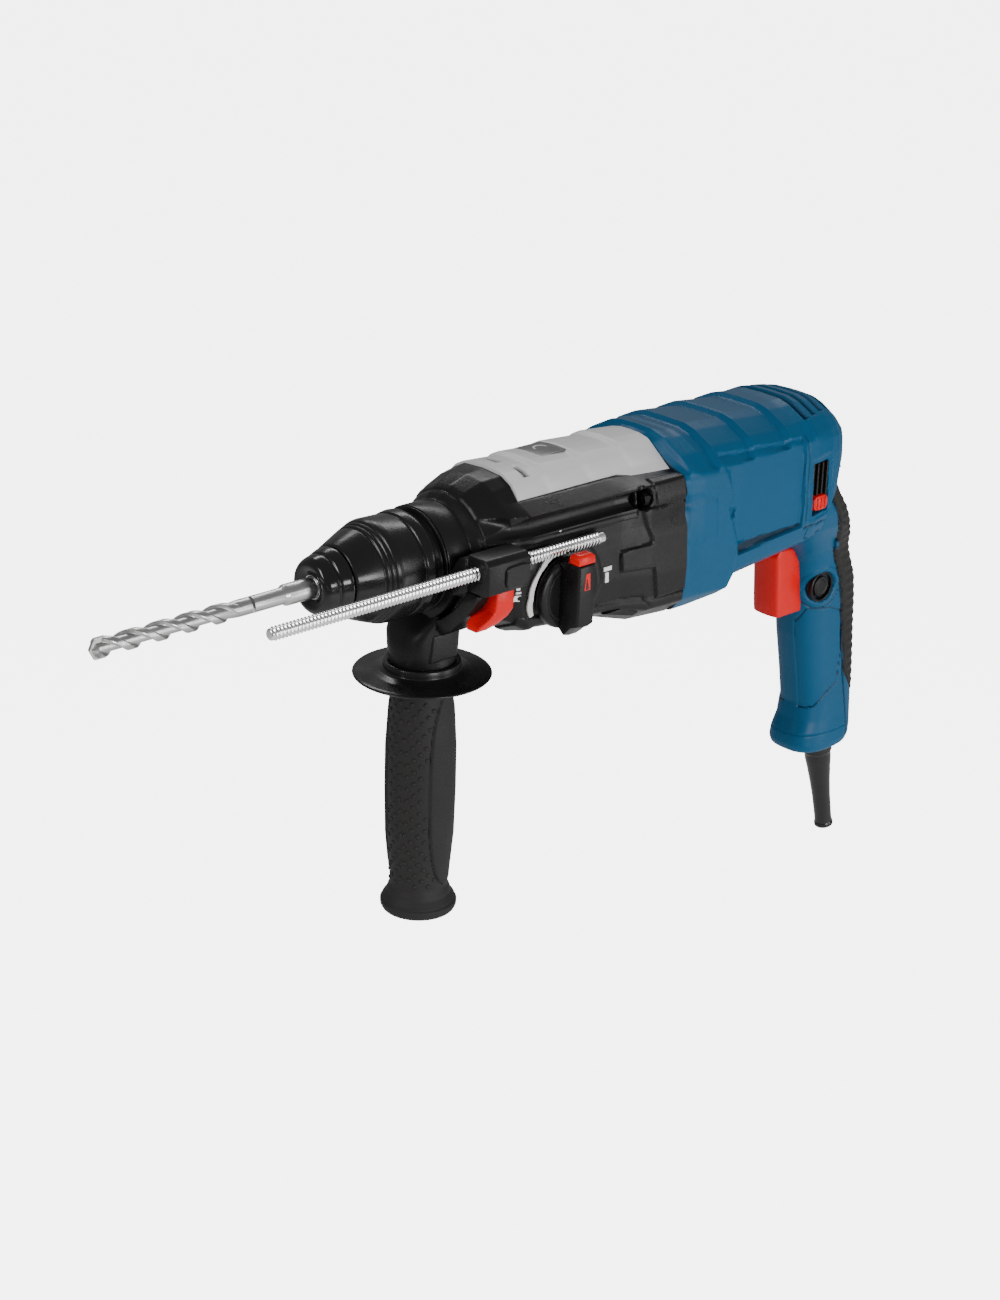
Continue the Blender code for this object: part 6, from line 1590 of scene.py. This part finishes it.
def build_stage():
    """Pale floor, soft lights and the camera."""
    scene = bpy.context.scene
    look = scene.hammer_colours
    mesh = bpy.data.meshes.new("floor")
    low, far = CAD_BOX[0][2] - FLOOR_DROP, FLOOR_REACH
    mesh.from_pydata([(-far, -far, low), (far, -far, low), (far, far, low), (-far, far, low)], [],
                     [(0, 1, 2, 3)])
    floor = placed("floor", mesh)
    paint = bpy.data.materials.new("pale floor")
    paint.use_nodes = True
    shader = paint.node_tree.nodes["Principled BSDF"]
    shader.inputs["Roughness"].default_value = 0.9
    shader.inputs["Specular IOR Level"].default_value = 0.1
    shader.inputs["Base Color"].default_value = (*look.floor, 1)
    shader.inputs["Emission Color"].default_value = (1, 1, 1, 1)
    seen = add_node(paint.node_tree, 'ShaderNodeLightPath')
    glow = add_node(paint.node_tree, 'ShaderNodeMath', operation='MULTIPLY')
    glow.inputs[1].default_value = FLOOR_GLOW
    paint.node_tree.links.new(seen.outputs["Is Camera Ray"], glow.inputs[0])
    paint.node_tree.links.new(glow.outputs[0], shader.inputs["Emission Strength"])
    mesh.materials.append(paint)
    world_light = bpy.data.worlds.new("studio")
    scene.world = world_light
    world_light.use_nodes = True
    back = world_light.node_tree.nodes["Background"]
    back.inputs["Color"].default_value = (1, 1, 1, 1)
    back.inputs["Strength"].default_value = SKY_GLOW
    aim = (-0.12, 0.0, 0.06)
    area_light("key light", (-0.5, -2.1, 0.35), aim, (0.8, 0.7), 32)
    area_light("side light", (0.9, -1.7, 0.15), aim, (0.5, 1.4), 14)
    area_light("front strip", (-1.9, 0.15, 0.95), aim, (0.35, 1.0), 20)
    area_light("back strip", (0.6, 0.9, 1.3), aim, (1.4, 0.25), 10)
    camera = bpy.data.cameras.new("camera")
    camera.sensor_width = 36.0
    camera.lens = CAMERA_LENS
    camera.clip_end = 200.0
    holder = placed("camera", camera)
    right, up, forward = (Vector(v).normalized() for v in (CAMERA_RIGHT, CAMERA_UP, CAMERA_FORWARD))
    turn = Matrix((right, up, -forward)).transposed().to_4x4()
    place = Vector(world(CAMERA_AT).tolist())
    holder.matrix_world = Matrix.Translation(place) @ turn
    scene.camera = holder


# ---------------------------------------------------------------- add-on

class HammerColours(PropertyGroup):
    """Colours of the tool and its studio."""
    casing: FloatVectorProperty(name="Motor casing",
                                description="Colour of the motor casing and grip shells",
                                subtype='COLOR', size=3, min=0, max=1, default=(0.0, 0.066, 0.150))
    body: FloatVectorProperty(name="Gear casing", description="Colour of the black casings and handle head",
                              subtype='COLOR', size=3, min=0, max=1, default=(0.0085, 0.0080, 0.0080))
    cover: FloatVectorProperty(name="Top cover", description="Colour of the light top cover",
                               subtype='COLOR',
                               size=3, min=0, max=1, default=(0.56, 0.56, 0.57))
    controls: FloatVectorProperty(name="Controls", description="Colour of the trigger, keys and lever",
                                  subtype='COLOR', size=3, min=0, max=1, default=(0.62, 0.0, 0.0))
    soft: FloatVectorProperty(name="Soft grip", description="Colour of the soft rubber skins",
                              subtype='COLOR',
                              size=3, min=0, max=1, default=(0.017, 0.0165, 0.016))
    floor: FloatVectorProperty(name="Floor", description="Colour of the studio floor", subtype='COLOR',
                               size=3,
                               min=0, max=1, default=(0.93, 0.93, 0.93))


class HammerSizes(PropertyGroup):
    """Sizes of repeated details."""
    dimple_radius: FloatProperty(name="Dimple radius",
                                 description="Radius of the raised dimples on the side grip",
                                 unit='LENGTH', min=0.0002, max=0.003, default=0.00115)


def operator_class(idname, label, text, build):
    """One operator that builds a piece or a group of like pieces."""
    def execute(self, context):
        build()
        return {'FINISHED'}
    return type(label.title().replace(" ", "") + "Operator", (Operator,), {
        "bl_idname": idname, "bl_label": label, "__doc__": text, "execute": execute,
        "bl_options": {'REGISTER', 'UNDO'}})


OPERATORS = [operator_class(*row) for row in (
    ("hammer.stage", "Build studio", "Add the floor, the lights and the camera", build_stage),
    ("hammer.inside", "Finish inner parts", "Give every packed part its finish", build_inside),
    ("hammer.motor_casing", "Build motor casing", "Build the ribbed motor casing", build_motor_shell),
    ("hammer.gear_casing", "Build gear casing", "Build the gear casing, its neck and foot",
     build_gear_shell),
    ("hammer.top_cover", "Build top cover", "Build the light cover and its plate", build_top_cover),
    ("hammer.main_grip", "Build main grip", "Build the grip's shells, soft skin and bellows",
     build_main_grip),
    ("hammer.controls", "Build controls", "Build the trigger, buttons, lever and selector", build_controls),
    ("hammer.chuck", "Build chuck", "Build the nose cap and the sliding sleeve", build_chuck),
    ("hammer.bit", "Build drill bit", "Build the twist drill", build_bit),
    ("hammer.rod", "Build depth rod", "Build the toothed depth rod", build_rod),
    ("hammer.side_handle", "Build side handle", "Build the clamp head, band, grip and release",
     build_side_handle),
    ("hammer.cord_end", "Build cord end", "Build the bend relief at the grip's foot", build_cord_end),
)]


class HammerPanel(Panel):
    """Lists the builders and the values they use."""
    bl_idname = "VIEW3D_PT_hammer"
    bl_label = "Rotary hammer"
    bl_space_type = 'VIEW_3D'
    bl_region_type = 'UI'
    bl_category = "Rotary hammer"

    def draw(self, context):
        for group in (context.scene.hammer_colours, context.scene.hammer_sizes):
            for key in group.__annotations__:
                self.layout.prop(group, key)
        for operator in OPERATORS:
            self.layout.operator(operator.bl_idname)


CLASSES = [HammerColours, HammerSizes] + OPERATORS + [HammerPanel]


def register():
    for cls in CLASSES:
        bpy.utils.register_class(cls)
    bpy.types.Scene.hammer_colours = PointerProperty(type=HammerColours)
    bpy.types.Scene.hammer_sizes = PointerProperty(type=HammerSizes)


def unregister():
    del bpy.types.Scene.hammer_sizes
    del bpy.types.Scene.hammer_colours
    for cls in reversed(CLASSES):
        bpy.utils.unregister_class(cls)


def main():
    register()
    for operator in OPERATORS:
        space, call = operator.bl_idname.split(".")
        getattr(getattr(bpy.ops, space), call)()


if __name__ == "__main__":
    main()
